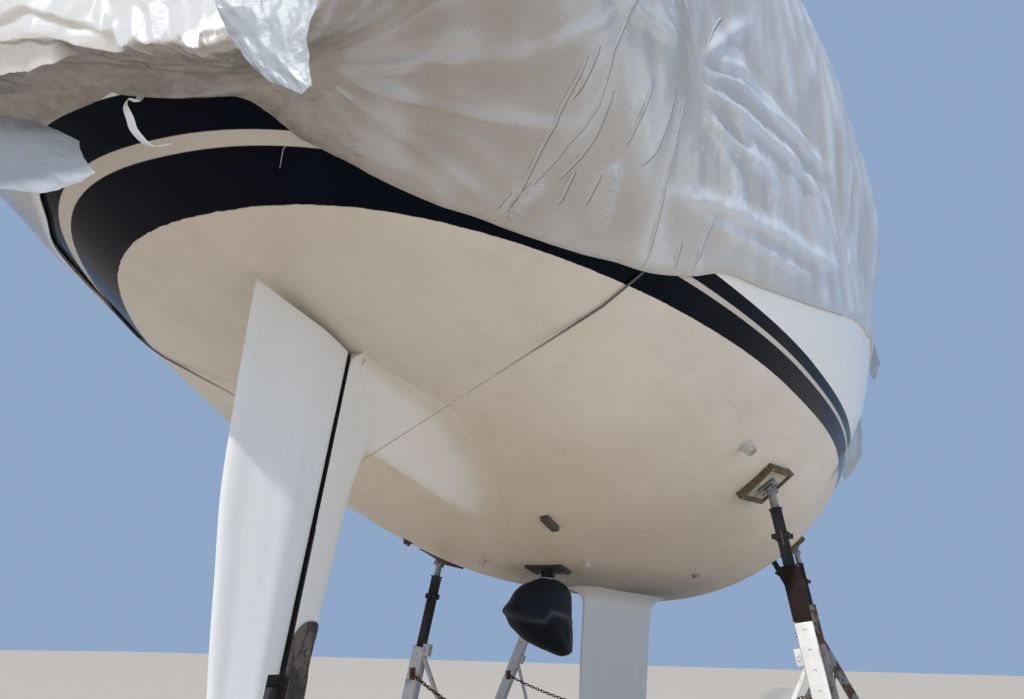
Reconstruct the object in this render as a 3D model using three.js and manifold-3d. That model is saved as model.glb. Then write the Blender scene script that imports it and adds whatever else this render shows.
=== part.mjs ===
// Sailing yacht laid up ashore on six props and timber blocks, under a shrunk winter cover, mast stepped.
// Millimetres. +X forward, +Y port, +Z up. Lengths run from the transom (0) to the stem head (13700).
// Heights in the tables run from the painted waterline and are lifted by WATERLINE_Z to stand on the ground.
import * as THREE from "three";
import Module from "manifold-3d";
import { mergeVertices } from "three/addons/utils/BufferGeometryUtils.js";

const wasm = await Module();
wasm.setup();

// driving sizes
const WATERLINE_Z = 2470;
const KEEL_BOTTOM = -2200;
const DECK_CAMBER = 110;
const SKIN_GAP = 0.4;
const FILM = 16;
const RUDDER_SWING_GAP = 15;
const NOTCH_BACK = 38;
const HEEL_BOSS = 28;
const STOCK_R = 30;
const PIN_R = 14;
const BORE_GAP = 0.6;
const MAST_X = 8100;
const MAST_TOP = 17600;
const MAST_LONG = 230;
const MAST_WIDE = 140;
const STAY_R = 6;
const STAY_CLEAR = 16;

// hull lines: x, keel height, sheer half breadth, sheer height, floor exponent, side exponent
const LINES = [
  [0, 493, 1093, 1133, 2.13, 2.19],
  [800, 207, 1265, 1092, 2.25, 2.27],
  [1600, -44, 1408, 1071, 2.35, 2.46],
  [2800, -345, 1656, 1050, 2.70, 2.68],
  [4200, -706, 1969, 1085, 1.90, 2.76],
  [6000, -860, 2190, 1175, 2.25, 2.20],
  [8000, -830, 2014, 1245, 1.95, 2.58],
  [10200, -568, 1534, 1382, 1.79, 2.17],
  [12200, 10, 860, 1505, 1.41, 1.69],
  [13700, 1470, 26, 1590, 1.20, 1.41],
];
const STATIONS = [0, 150, 400, 800, 1200, 1600, 2000, 2400, 2800, 3300, 3800, 4300, 4800, 5400, 6000, 6600,
  7200, 7800, 8400, 9000, 9600, 10200, 10800, 11400, 12000, 12500, 12900, 13200, 13450, 13600, 13700];

// winter cover: x, rise of the side above the sheer, spread beyond the sheer, ridge height, lower edge
const COVER = [
  [0, 700, 40, 1990, -300],
  [960, 780, 60, 2400, -100],
  [1060, 790, 65, 2480, 132],
  [1250, 800, 70, 2620, 90],
  [1570, 820, 75, 2850, 39],
  [1860, 840, 80, 2960, 25],
  [2130, 850, 85, 3020, 31],
  [2410, 860, 90, 3060, 58],
  [2760, 870, 95, 3100, 160],
  [3100, 880, 100, 3120, 225],
  [3470, 880, 100, 3140, 300],
  [4150, 860, 105, 3170, 469],
  [4980, 820, 110, 3200, 681],
  [6000, 780, 115, 3230, 800],
  [8100, 720, 110, 3260, 850],
  [10200, 700, 90, 2860, 950],
  [12200, 680, 70, 2500, 1120],
  [13700, 660, 40, 2290, 1230],
];

// a smooth monotone curve through one column of a table
function curve(table, column) {
  const x = table.map((r) => r[0]);
  const y = table.map((r) => r[column]);
  const n = x.length;
  const h = [];
  const d = [];
  for (let i = 0; i < n - 1; i++) {
    h.push(x[i + 1] - x[i]);
    d.push((y[i + 1] - y[i]) / h[i]);
  }
  const edge = (h0, h1, d0, d1) => {
    let m = ((2 * h0 + h1) * d0 - h0 * d1) / (h0 + h1);
    if (Math.sign(m) !== Math.sign(d0)) m = 0;
    else if (Math.sign(d0) !== Math.sign(d1) && Math.abs(m) > 3 * Math.abs(d0)) m = 3 * d0;
    return m;
  };
  const m = new Array(n).fill(0);
  m[0] = edge(h[0], h[1], d[0], d[1]);
  m[n - 1] = edge(h[n - 2], h[n - 3], d[n - 2], d[n - 3]);
  for (let i = 1; i < n - 1; i++) {
    if (d[i - 1] * d[i] <= 0) continue;
    const w1 = 2 * h[i] + h[i - 1];
    const w2 = h[i] + 2 * h[i - 1];
    m[i] = (w1 + w2) / (w1 / d[i - 1] + w2 / d[i]);
  }
  return (v) => {
    const c = Math.min(Math.max(v, x[0]), x[n - 1]);
    let i = 0;
    while (i < n - 2 && c > x[i + 1]) i++;
    const t = (c - x[i]) / h[i];
    const a = (1 + 2 * t) * (1 - t) * (1 - t);
    const b = t * (1 - t) * (1 - t);
    const e = t * t * (3 - 2 * t);
    const f = t * t * (t - 1);
    return a * y[i] + b * h[i] * m[i] + e * y[i + 1] + f * h[i] * m[i + 1];
  };
}
const keelZ = curve(LINES, 1);
const sheerY = curve(LINES, 2);
const sheerZ = curve(LINES, 3);
const floorExp = curve(LINES, 4);
const sideExp = curve(LINES, 5);
const coverRise = curve(COVER, 1);
const coverSpread = curve(COVER, 2);
const coverRidge = curve(COVER, 3);
const coverHem = curve(COVER, 4);

// one half section of the hull from keel to sheer, moved outward by off
const GIRTH = 15;
function halfSection(x, off) {
  const a = floorExp(x);
  const b = sideExp(x);
  const ys = sheerY(x);
  const zs = sheerZ(x);
  const zk = keelZ(x);
  const pts = [];
  for (let i = 0; i <= GIRTH; i++) {
    const th = (Math.PI / 2) * (i / GIRTH);
    const s = Math.pow(Math.sin(th), 2 / a);
    const u = Math.pow(Math.max(1 - Math.pow(s, a), 0), 1 / b);
    pts.push([ys * s, zs - u * (zs - zk)]);
  }
  if (off === 0) return pts;
  return pts.map((p, i) => {
    const q = pts[Math.max(i - 1, 0)];
    const r = pts[Math.min(i + 1, GIRTH)];
    const ty = r[0] - q[0];
    const tz = r[1] - q[1];
    const l = Math.hypot(ty, tz) || 1;
    if (i === 0) return [0, p[1] - off];
    return [Math.max(p[0] + (off * tz) / l, 0), p[1] - (off * ty) / l];
  });
}
function hullHeightAt(x, y) {
  const s = Math.min(Math.abs(y) / sheerY(x), 1);
  const u = Math.pow(Math.max(1 - Math.pow(s, floorExp(x)), 0), 1 / sideExp(x));
  return sheerZ(x) - u * (sheerZ(x) - keelZ(x));
}
// outward direction of the hull skin at x, y
function hullNormal(x, y) {
  const e = 20;
  const dx = (hullHeightAt(x + e, y) - hullHeightAt(x - e, y)) / (2 * e);
  const dy = (hullHeightAt(x, y + e) - hullHeightAt(x, y - e)) / (2 * e);
  return new THREE.Vector3(dx, dy, -1).normalize();
}
const hullPoint = (x, y) => new THREE.Vector3(x, y, hullHeightAt(x, y));

// solids
function fromLoops(loops) {
  const n = loops[0].length;
  const verts = [];
  const tris = [];
  for (const loop of loops) for (const p of loop) verts.push(p[0], p[1], p[2]);
  const mid = (loop) => {
    const c = [0, 0, 0];
    for (const p of loop) for (let k = 0; k < 3; k++) c[k] += p[k] / n;
    return c;
  };
  const first = verts.length / 3;
  verts.push(...mid(loops[0]));
  verts.push(...mid(loops[loops.length - 1]));
  for (let i = 0; i < n; i++) {
    const j = (i + 1) % n;
    tris.push(first, j, i);
    const b = (loops.length - 1) * n;
    tris.push(first + 1, b + i, b + j);
    for (let k = 0; k < loops.length - 1; k++) {
      const a = k * n;
      const c = a + n;
      tris.push(a + i, a + j, c + j);
      tris.push(a + i, c + j, c + i);
    }
  }
  return solidOf(verts, tris);
}
function solidOf(verts, tris) {
  const make = (t) => {
    const mesh = new wasm.Mesh({ numProp: 3, vertProperties: new Float32Array(verts), triVerts: new Uint32Array(t) });
    mesh.merge();
    return new wasm.Manifold(mesh);
  };
  let m = make(tris);
  if (m.volume() < 0) {
    const back = [];
    for (let i = 0; i < tris.length; i += 3) back.push(tris[i], tris[i + 2], tris[i + 1]);
    m = make(back);
  }
  return m;
}
function fromGeometry(geometry) {
  const g = geometry.clone();
  g.deleteAttribute("normal");
  g.deleteAttribute("uv");
  const w = mergeVertices(g, 1e-3);
  return solidOf(Array.from(w.attributes.position.array), Array.from(w.index.array));
}
function box(x0, x1, y0, y1, z0, z1) {
  return wasm.Manifold.cube([x1 - x0, y1 - y0, z1 - z0]).translate([x0, y0, z0]);
}
// a straight bar between two points; the profile is given in the plane across it
function bar(a, b, profile, lean = new THREE.Vector3(1, 0, 0)) {
  const A = new THREE.Vector3(...a);
  const B = new THREE.Vector3(...b);
  const w = B.clone().sub(A).normalize();
  const u = lean.clone().addScaledVector(w, -lean.dot(w)).normalize();
  const v = new THREE.Vector3().crossVectors(w, u);
  const loop = (P) => profile.map((q) => {
    const r = P.clone().addScaledVector(u, q[0]).addScaledVector(v, q[1]);
    return [r.x, r.y, r.z];
  });
  return fromLoops([loop(A), loop(B)]);
}
const rect = (w, d) => [[-w / 2, -d / 2], [w / 2, -d / 2], [w / 2, d / 2], [-w / 2, d / 2]];
function round(r, n, squeeze = 1) {
  return Array.from({ length: n }, (_, i) => {
    const t = (2 * Math.PI * i) / n;
    return [r * Math.cos(t), r * squeeze * Math.sin(t)];
  });
}
function tube(points, r, segments, sides) {
  const path = new THREE.CatmullRomCurve3(points.map((p) => new THREE.Vector3(...p)), false, "centripetal");
  const shape = new THREE.Shape();
  round(r, sides).forEach((p, i) => (i ? shape.lineTo(p[0], p[1]) : shape.moveTo(p[0], p[1])));
  shape.closePath();
  const g = new THREE.ExtrudeGeometry(shape, { steps: segments, bevelEnabled: false, extrudePath: path });
  return fromGeometry(g);
}

// hull with a cambered deck
function hullSolid(off, deckDrop) {
  const loops = STATIONS.map((s, k) => {
    const x = k === 0 ? s - off : k === STATIONS.length - 1 ? s + off : s;
    const half = halfSection(s, off);
    const loop = [];
    for (let i = GIRTH; i >= 0; i--) loop.push([x, -half[i][0], half[i][1]]);
    for (let i = 1; i <= GIRTH; i++) loop.push([x, half[i][0], half[i][1]]);
    const top = half[GIRTH];
    for (let i = 3; i >= -3; i--) {
      const f = i / 4;
      loop.push([x, top[0] * f, top[1] + DECK_CAMBER * Math.min(1, top[0] / 900) * (1 - f * f) - deckDrop]);
    }
    return loop;
  });
  return fromLoops(loops);
}
const hullPlain = hullSolid(0, 0);
const hullSkin = hullSolid(SKIN_GAP, -SKIN_GAP);

// cover: film close round the topsides, tent over the deck with the air left open inside it
const COVER_WALL = 14;
function tentRoof(s) {
  const half = halfSection(s, FILM);
  const zs = half[GIRTH][1];
  const side = half[GIRTH][0] + coverSpread(s);
  const eave = zs + coverRise(s);
  const ridge = coverRidge(s);
  return [
    [side, zs + coverRise(s) * 0.5],
    [side, eave - 40],
    [side - 25, eave + 15],
    [side * 0.72, eave + (ridge - eave) * 0.22],
    [side * 0.44, eave + (ridge - eave) * 0.48],
    [side * 0.18, eave + (ridge - eave) * 0.80],
    [side * 0.05, ridge - 12],
    [0, ridge],
  ];
}
const mirrored = (x, half) => [
  ...half.slice(0, -1).map((p) => [x, p[0], p[1]]),
  [x, 0, half[half.length - 1][1]],
  ...half.slice(0, -1).reverse().map((p) => [x, -p[0], p[1]]),
];
// the roof moved in by the film's thickness, closed below the edge of the deck
function tentAir(s, x) {
  const roof = tentRoof(s);
  const foot = [sheerY(s) - 2, sheerZ(s) - 4];
  const inner = roof.map((p, i) => {
    if (i === roof.length - 1) return [0, p[1] - COVER_WALL];
    const q = i ? roof[i - 1] : [p[0], p[1] - 100];
    const r = roof[i + 1];
    const l = Math.hypot(r[0] - q[0], r[1] - q[1]);
    return [Math.max(p[0] - (COVER_WALL * (r[1] - q[1])) / l, 2), p[1] + (COVER_WALL * (r[0] - q[0])) / l];
  });
  return mirrored(x, [foot, ...inner]);
}
function coverSolid() {
  const last = STATIONS.length - 1;
  const whole = fromLoops(STATIONS.map((s, k) => {
    const x = k === 0 ? s - FILM - 10 : k === last ? s + FILM + 20 : s;
    const half = halfSection(s, FILM);
    const loop = [];
    for (let i = GIRTH; i >= 0; i--) loop.push([x, -half[i][0], half[i][1]]);
    for (let i = 1; i <= GIRTH; i++) loop.push([x, half[i][0], half[i][1]]);
    return loop.concat(mirrored(x, tentRoof(s)));
  }));
  const air = fromLoops(STATIONS.map((s, k) => {
    const x = k === 0 ? s - FILM - 10 + COVER_WALL : k === last ? s + FILM + 20 - COVER_WALL : s;
    return tentAir(s, x);
  }));
  const cuts = COVER.map((r) => r[0]);
  const below = [];
  const hemLoop = (x, z) => [[x, -3500, -3000], [x, 3500, -3000], [x, 3500, z], [x, -3500, z]];
  below.push(hemLoop(960, -1000));
  below.push(hemLoop(1010, coverHem(1060)));
  for (const x of cuts.filter((v) => v >= 1060)) below.push(hemLoop(x, coverHem(x)));
  below.push(hemLoop(14400, 1260));
  return whole.subtract(fromLoops(below)).subtract(air).subtract(hullSkin);
}

// foil sections: half thickness along the chord, nose at 0
const FOIL = [[0, 0], [0.0125, 0.36], [0.05, 0.66], [0.12, 0.88], [0.25, 1.0], [0.4, 0.97], [0.6, 0.75], [0.8, 0.42], [1, 0.07]];
function foilLoop(nose, tail, half, z) {
  const loop = FOIL.map((p) => [nose + (tail - nose) * p[0], half * p[1], z]);
  for (let i = FOIL.length - 1; i > 0; i--) loop.push([nose + (tail - nose) * FOIL[i][0], -half * FOIL[i][1], z]);
  return loop;
}

// fin keel: height, nose x, tail x, half thickness
const FIN = [
  [-700, 8060, 5900, 165],
  [-860, 7960, 5850, 140],
  [-1000, 7900, 5820, 130],
  [-1280, 7800, 5760, 126],
  [-1680, 7660, 5720, 122],
  [-2100, 7520, 5690, 118],
  [KEEL_BOTTOM + 30, 7500, 5690, 114],
  [KEEL_BOTTOM, 7470, 5710, 95],
];
const fin = fromLoops(FIN.map((r) => foilLoop(r[1], r[2], r[3], r[0]))).subtract(hullSkin);

// rudder: height, leading edge x, trailing edge x, half thickness
const STOCK_TOP = [2190, 0, -200];
const STOCK_LOW = [1955, 0, -1425];
const BLADE = [
  [-60, 2288, 1702, 72],
  [-330, 2237, 1680, 72],
  [-585, 2188, 1667, 71],
  [-830, 2141, 1660, 70],
  [-1130, 2083, 1686, 68],
  [-1405, 2031, 1716, 66],
  [-1600, 1995, 1748, 62],
  [-1700, 1976, 1768, 56],
  [-1740, 1950, 1790, 40],
];
// the leading edge is a half round on the stock line, so that it turns clear of the skeg
function bladeLoop(z, nose, tail, half) {
  const loop = [];
  const c = nose - 72;
  for (let i = 0; i <= 6; i++) {
    const t = (Math.PI / 2) * (i / 6);
    loop.push([c + half * Math.cos(t), half * Math.sin(t), z]);
  }
  for (const p of [[0.25, 0.97], [0.5, 0.72], [0.75, 0.4], [1, 0.09]]) loop.push([c + (tail - c) * p[0], half * p[1], z]);
  const n = loop.length;
  for (let i = n - 1; i > 0; i--) loop.push([loop[i][0], -loop[i][1], z]);
  return loop;
}
const stockDir = new THREE.Vector3(...STOCK_LOW).sub(new THREE.Vector3(...STOCK_TOP)).normalize();
function alongStock(z) {
  const t = (z - STOCK_TOP[2]) / stockDir.z;
  return new THREE.Vector3(...STOCK_TOP).addScaledVector(stockDir, t);
}
function stockBar(from, to, r) {
  const a = alongStock(from);
  const b = alongStock(to);
  return bar([a.x, 0, a.z], [b.x, 0, b.z], round(r, 24));
}
let rudder = fromLoops(BLADE.map((r) => bladeLoop(...r)));
{
  // the top edge is cut square to the stock, clear of the hull bottom
  const across = new THREE.Vector3(-stockDir.z, 0, stockDir.x);
  const p = new THREE.Vector3(2270, 0, -232);
  const far = (s, t) => {
    const q = p.clone().addScaledVector(across, s).addScaledVector(stockDir, t);
    return [q.x, q.y, q.z];
  };
  const slab = fromLoops([
    [[...far(-900, 0)], [...far(600, 0)], [...far(600, -700)], [...far(-900, -700)]].map((q) => [q[0], -400, q[2]]),
    [[...far(-900, 0)], [...far(600, 0)], [...far(600, -700)], [...far(-900, -700)]].map((q) => [q[0], 400, q[2]]),
  ]);
  rudder = rudder.subtract(slab);
  // notch over the heel fitting
  rudder = rudder.subtract(fromLoops([-300, 300].map((y) => [-1405, -1900].flatMap((z, i) => {
    const x = alongStock(z).x - NOTCH_BACK;
    return i ? [[x, y, z], [2500, y, z]] : [[2500, y, z], [x, y, z]];
  }))));
  rudder = rudder.subtract(hullSolid(8, -8));
  rudder = rudder.add(stockBar(-260, -110, STOCK_R)).add(stockBar(-1380, -1478, PIN_R));
}
// the stock's tube in the hull
const hull = hullPlain.subtract(stockBar(-300, -105, STOCK_R + BORE_GAP));

// skeg: height, nose x, half thickness; its after face follows the stock
const SKEG = [
  [-60, 2760, 74],
  [-480, 2600, 74],
  [-545, 2530, 74],
  [-600, 2470, 74],
  [-661, 2436, 73],
  [-797, 2382, 72],
  [-1019, 2317, 70],
  [-1224, 2256, 68],
  [-1290, 2240, 68],
];
const HEEL = [
  [-1290.5, 2240, 69],
  [-1379, 2217, 69],
  [-1488, 2200, 68],
  [-1580, 2182, 64],
  [-1620, 2150, 50],
];
const skegTail = (z) => alongStock(z).x + 72 + RUDDER_SWING_GAP;
function skegLoop(z, nose, half, tail = skegTail(z)) {
  const loop = [];
  const prof = [[1, 0], [0.985, 0.22], [0.93, 0.45], [0.8, 0.7], [0.55, 0.9], [0.25, 0.99], [0, 1]];
  for (const p of prof) loop.push([tail + (nose - tail) * p[0], half * p[1], z]);
  for (let i = prof.length - 1; i > 0; i--) loop.push([tail + (nose - tail) * prof[i][0], -half * prof[i][1], z]);
  return loop;
}
// the long root of the skeg running forward along the keel line: x, foot height, half width
const RIDGE = [
  [2330, -480, 74],
  [2560, -544, 70],
  [2850, -577, 62],
  [3150, -604, 56],
  [3500, -634, 50],
  [3850, -668, 38],
  [4150, -706, 20],
];
const ridge = fromLoops(RIDGE.map((r) => {
  const loop = [];
  const top = keelZ(r[0]) + 60;
  for (let i = 0; i <= 8; i++) {
    const t = Math.PI * (i / 8);
    loop.push([r[0], -r[2] * Math.cos(t), r[1] + 70 - 70 * Math.sin(t)]);
  }
  loop.push([r[0], r[2] * 1.1, Math.max(top, r[1] + 75)]);
  loop.push([r[0], -r[2] * 1.1, Math.max(top, r[1] + 75)]);
  return loop;
}));
const skeg = fromLoops(SKEG.map((r) => skegLoop(...r))).add(ridge).subtract(hullSkin);
let heel = fromLoops(HEEL.map((r) => skegLoop(...r)));
{
  const a = alongStock(-1436);
  const b = alongStock(-1600);
  heel = heel.add(bar([a.x, 0, a.z], [b.x, 0, b.z], round(HEEL_BOSS, 16)));
  heel = heel.add(fromLoops([
    [[2100, -HEEL_BOSS, -1600], [2100, HEEL_BOSS, -1600], [2100, HEEL_BOSS, -1442], [2100, -HEEL_BOSS, -1442]],
    [[b.x, -HEEL_BOSS, -1595], [b.x, HEEL_BOSS, -1595], [a.x, HEEL_BOSS, -1442], [a.x, -HEEL_BOSS, -1442]],
  ]));
  heel = heel.subtract(stockBar(-1420, -1486, PIN_R + BORE_GAP));
}

// a pad lying on the hull skin: made as a thin shell between two offsets of the hull
function padOnHull(x, y, long, wide, thick, turn = 0) {
  const p = hullPoint(x, y);
  const n = hullNormal(x, y);
  const u = new THREE.Vector3(1, 0, 0).addScaledVector(n, -n.x).normalize().applyAxisAngle(n, (turn * Math.PI) / 180);
  const v = new THREE.Vector3().crossVectors(n, u);
  const loop = (d) => rect(long, wide).map((q) => {
    const r = p.clone().addScaledVector(u, q[0]).addScaledVector(v, q[1]).addScaledVector(n, d);
    return [r.x, r.y, r.z];
  });
  const block = fromLoops([loop(-120), loop(thick)]);
  return { solid: block.subtract(hullSkin), block, p, n };
}

// auxiliary drive under the hull
const DRIVE_X = 4980;
const drivePlate = padOnHull(DRIVE_X, 0, 240, 260, 14).solid;
const driveLeg = fromLoops([
  foilLoop(5042, 4922, 33, -770),
  foilLoop(5042, 4922, 32, -860),
]).subtract(padOnHull(DRIVE_X, 0, 420, 420, 14.5).block);
// bag tied over the propeller: height, middle x, half length, half width, middle y
const BAG = [
  [-860.5, 4985, 64, 42, 6],
  [-880, 4988, 105, 82, 16],
  [-905, 4995, 166, 138, 28],
  [-930, 5000, 196, 164, 37],
  [-960, 5002, 212, 182, 45],
  [-1010, 5004, 228, 200, 58],
  [-1067, 5000, 250, 220, 75],
  [-1110, 5000, 245, 210, 64],
  [-1155, 5000, 235, 200, 51],
  [-1200, 5000, 220, 178, 29],
  [-1247, 5005, 195, 149, 4],
  [-1290, 5010, 150, 102, -38],
  [-1325, 5015, 90, 60, -76],
  [-1340, 5015, 45, 25, -85],
];
const bag = fromLoops(BAG.map((r) => Array.from({ length: 20 }, (_, i) => {
  const t = (2 * Math.PI * i) / 20;
  return [r[1] + r[2] * Math.cos(t), r[4] + r[3] * Math.sin(t), r[0]];
})));

// small fittings through the skin: name, x, y, radius, stand-off, squeeze
const FITTINGS = [
  ["through_hull_quarter", 4040, -1392, 34, 60, 1],
  ["through_hull_port_aft", 4815, 404, 24, 42, 1],
  ["through_hull_starboard_aft", 4831, -307, 24, 42, 1],
  ["through_hull_starboard_mid", 5949, -812, 26, 30, 1],
  ["transducer_port", 4897, 1000, 40, 24, 1.9],
];

// props: name, hull x, hull y, foot x, foot y, length of the dark upper tube, brace side, turn of the pad
const PAD_TURN = 15;
const PROPS = [
  ["starboard_aft", 4690, -1430, 4720, -1790, 760, 1, PAD_TURN],
  ["starboard_mid", 8000, -1410, 8050, -1780, 680, 1, 0],
  ["starboard_fore", 10100, -1010, 10200, -2200, 800, 1, 0],
  ["port_aft", 5950, 1210, 5980, 1610, 860, -1, 0],
  ["port_mid", 8750, 1150, 8800, 2050, 560, -1, 0],
  ["port_fore", 10500, 640, 10550, 1310, 600, -1, 0],
];

const parts = [];
const put = (name, solid, colour, rough = 0.6, metal = 0) => parts.push({ name, solid, colour, rough, metal });

put("hull", hull, 0xd9d6cf, 0.35);
put("fin_keel", fin, 0xb9bfc6, 0.6);
put("skeg", skeg, 0xbdb9b0, 0.6);
put("skeg_heel_fitting", heel, 0x6b5344, 0.8, 0.3);
put("rudder", rudder, 0xc9cfd6, 0.55);
put("drive_hull_plate", drivePlate, 0x24262a, 0.6);
put("drive_leg", driveLeg, 0x3a3d42, 0.5, 0.3);
put("propeller_bag", bag, 0x33383f, 0.7);
for (const [name, x, y, r, d, squeeze] of FITTINGS) {
  const p = hullPoint(x, y);
  const n = hullNormal(x, y);
  const a = p.clone().addScaledVector(n, -60);
  const b = p.clone().addScaledVector(n, d);
  const solid = bar([a.x, a.y, a.z], [b.x, b.y, b.z], round(r, 16, 1 / squeeze).map((q) => [q[0] * (squeeze > 1 ? 1.25 : 1), q[1]]));
  put(name, solid.subtract(hullSkin), squeeze > 1 ? 0x6f6258 : 0xc6c2b8, 0.6);
}

put("hull_anode", padOnHull(3970, -335, 200, 50, 28, 0).solid, 0x8b8378, 0.6);

// props with their pads, screws and legs
const foot = -WATERLINE_Z;
for (const [name, x, y, fx, fy, upper, side, turn] of PROPS) {
  const pad = padOnHull(x, y, 345, 270, 34, turn);
  put(`prop_${name}_pad`, pad.solid, 0xa9997f, 0.8);
  const top = pad.p.clone().addScaledVector(pad.n, 34.5);
  const knee = pad.p.clone().addScaledVector(pad.n, 62);
  const base = new THREE.Vector3(fx, fy, foot);
  const dir = base.clone().sub(knee).normalize();
  const at = (d) => knee.clone().addScaledVector(dir, d);
  const arr = (p) => [p.x, p.y, p.z];
  let head = bar(arr(top), arr(pad.p.clone().addScaledVector(pad.n, 84)), rect(90, 90));
  head = head.add(bar(arr(at(-10)), arr(at(130)), round(24, 12)));
  head = head.add(bar(arr(at(110)), arr(at(upper + 60)), rect(64, 64)));
  head = head.add(bar(arr(at(250)), arr(at(290)), rect(92, 92)));
  put(`prop_${name}_screw`, head, 0x4a3a32, 0.8, 0.4);
  const total = base.clone().sub(knee).length();
  let leg = bar(arr(at(upper - 190)), arr(at(total)), rect(98, 98));
  const q = at(total - 60);
  leg = leg.add(bar(arr(at(total - 1180)), [q.x, q.y + side * 740, foot + 30], rect(40, 26)));
  leg = leg.add(box(fx - 170, fx + 170, fy - 90, fy + 90, foot, foot + 14));
  const yIn = q.y + side * 755;
  leg = leg.add(box(q.x - 90, q.x + 90, Math.min(yIn - 60, yIn + 60), Math.max(yIn - 60, yIn + 60), foot, foot + 14));
  leg = leg.add(box(q.x - 20, q.x + 20, yIn - 40, yIn + 40, foot, foot + 50));
  leg = leg.subtract(box(-5000, 20000, -5000, 5000, foot - 400, foot));
  leg = leg.subtract(bar(arr(at(upper - 400)), arr(at(upper + 62)), rect(65, 65)));
  put(`prop_${name}_leg`, leg, 0xdedcd6, 0.6, 0.2);
}

// timber under the keel: name, x, length, z0, z1
const BLOCKS = [
  ["keel_block_aft_lower", 6050, 300, 0, 135, 450],
  ["keel_block_aft_upper", 6050, 220, 135.4, 269.6, 300],
  ["keel_block_fore_lower", 7150, 300, 0, 135, 450],
  ["keel_block_fore_upper", 7150, 220, 135.4, 269.6, 300],
];
for (const [name, x, w, z0, z1, half] of BLOCKS) {
  put(name, box(x - w / 2, x + w / 2, -half, half, foot + z0, foot + z1), 0x8a6f52, 0.9);
}

// chains tying the props together in pairs, hooked on the faces of the legs: name, pair, height, sag
const CHAINS = [
  ["prop_chain_aft", "starboard_aft", "port_aft", -1500, 420],
  ["prop_chain_mid", "starboard_mid", "port_mid", -1560, 330],
];
function hookOn(prop, z, face) {
  const [, x, y, fx, fy] = PROPS.find((r) => r[0] === prop);
  const knee = hullPoint(x, y).addScaledVector(hullNormal(x, y), 62);
  const t = (z - knee.z) / (foot - knee.z);
  return [knee.x + (fx - knee.x) * t + face * 58.1, knee.y + (fy - knee.y) * t, z];
}

// mast, spreaders and main stays
const deckAt = (x) => sheerZ(x) + DECK_CAMBER;
const mast = bar([MAST_X, 0, deckAt(MAST_X) - 20], [MAST_X, 0, MAST_TOP], round(MAST_LONG / 2, 16, MAST_WIDE / MAST_LONG)).subtract(hullSkin);
const mastHole = bar([MAST_X, 0, 900], [MAST_X, 0, 5000], round(MAST_LONG / 2 + 8, 16, (MAST_WIDE + 16) / (MAST_LONG + 16)));
const SPREADERS = [
  ["lower", 6900, 1060],
  ["upper", 12300, 800],
];
const SHROUD = (hand) => [
  [MAST_X, hand * 76.8, MAST_TOP - 300],
  [MAST_X - 60, hand * 808.8, 12300],
  [MAST_X - 60, hand * 1067.8, 6900],
  [MAST_X - 60, hand * 1880, 1180],
];
const STAYS = [
  ["forestay", [[MAST_X + 121.6, 0, MAST_TOP - 120], [13560, 0, 1560]]],
  ["backstay", [[MAST_X - 121.6, 0, MAST_TOP - 120], [90, 0, 1180]]],
  ["shroud_starboard", SHROUD(-1)],
  ["shroud_port", SHROUD(1)],
];
// a wire through several points, one ring at each
function wire(points, r, sides) {
  const P = points.map((p) => new THREE.Vector3(...p));
  const along = (i) => P[Math.min(i + 1, P.length - 1)].clone().sub(P[Math.max(i - 1, 0)]).normalize();
  return fromLoops(P.map((p, i) => {
    const w = along(i);
    const u = new THREE.Vector3(1, 0, 0).addScaledVector(w, -w.x).normalize();
    const v = new THREE.Vector3().crossVectors(w, u);
    return round(r, sides).map((q) => {
      const t = p.clone().addScaledVector(u, q[0]).addScaledVector(v, q[1]);
      return [t.x, t.y, t.z];
    });
  }));
}
let cover = coverSolid().subtract(mastHole);
put("mast", mast, 0xd8dadc, 0.35, 0.6);
for (const [name, z, reach] of SPREADERS) {
  for (const [hand, s] of [["starboard", -1], ["port", 1]]) {
    const solid = bar([MAST_X, s * (MAST_WIDE / 2 + 0.5), z], [MAST_X - 60, s * reach, z], round(38, 10, 0.45), new THREE.Vector3(1, 0, 0));
    put(`spreader_${name}_${hand}`, solid, 0xd2d5d8, 0.4, 0.6);
  }
}
for (const [name, pts] of STAYS) {
  const low = pts[pts.length - 1];
  const up = pts[pts.length - 2];
  cover = cover.subtract(bar(low, up, round(STAY_CLEAR, 8)));
  put(name, wire(pts, STAY_R, 6).subtract(hullSkin), 0xa9adb1, 0.3, 0.9);
}

// rope drawn tight under the hull from hem to hem, round the root of the skeg
const ROPE_R = 6;
const ROPE_SIDE = [
  [2404, 1188], [2408, 1112], [2420, 1035],
];
const ROPE_TURN = new THREE.Vector3(2474, 0, -610);
const ropePoints = [];
const offHull = (x, y, d) => hullPoint(x, y).addScaledVector(hullNormal(x, y), d);
for (const [x, y] of ROPE_SIDE) ropePoints.push(offHull(x, -y, ROPE_R + 2.5));
const leaving = ropePoints[ropePoints.length - 1];
for (const t of [0.3, 0.6, 0.85, 0.97]) ropePoints.push(leaving.clone().lerp(ROPE_TURN, t));
const ropeOther = ropePoints.slice().reverse().map((p) => new THREE.Vector3(p.x, -p.y, p.z));
const ropeRoute = [...ropePoints, ROPE_TURN, ...ropeOther].map((p) => [p.x, p.y, p.z]);

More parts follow.
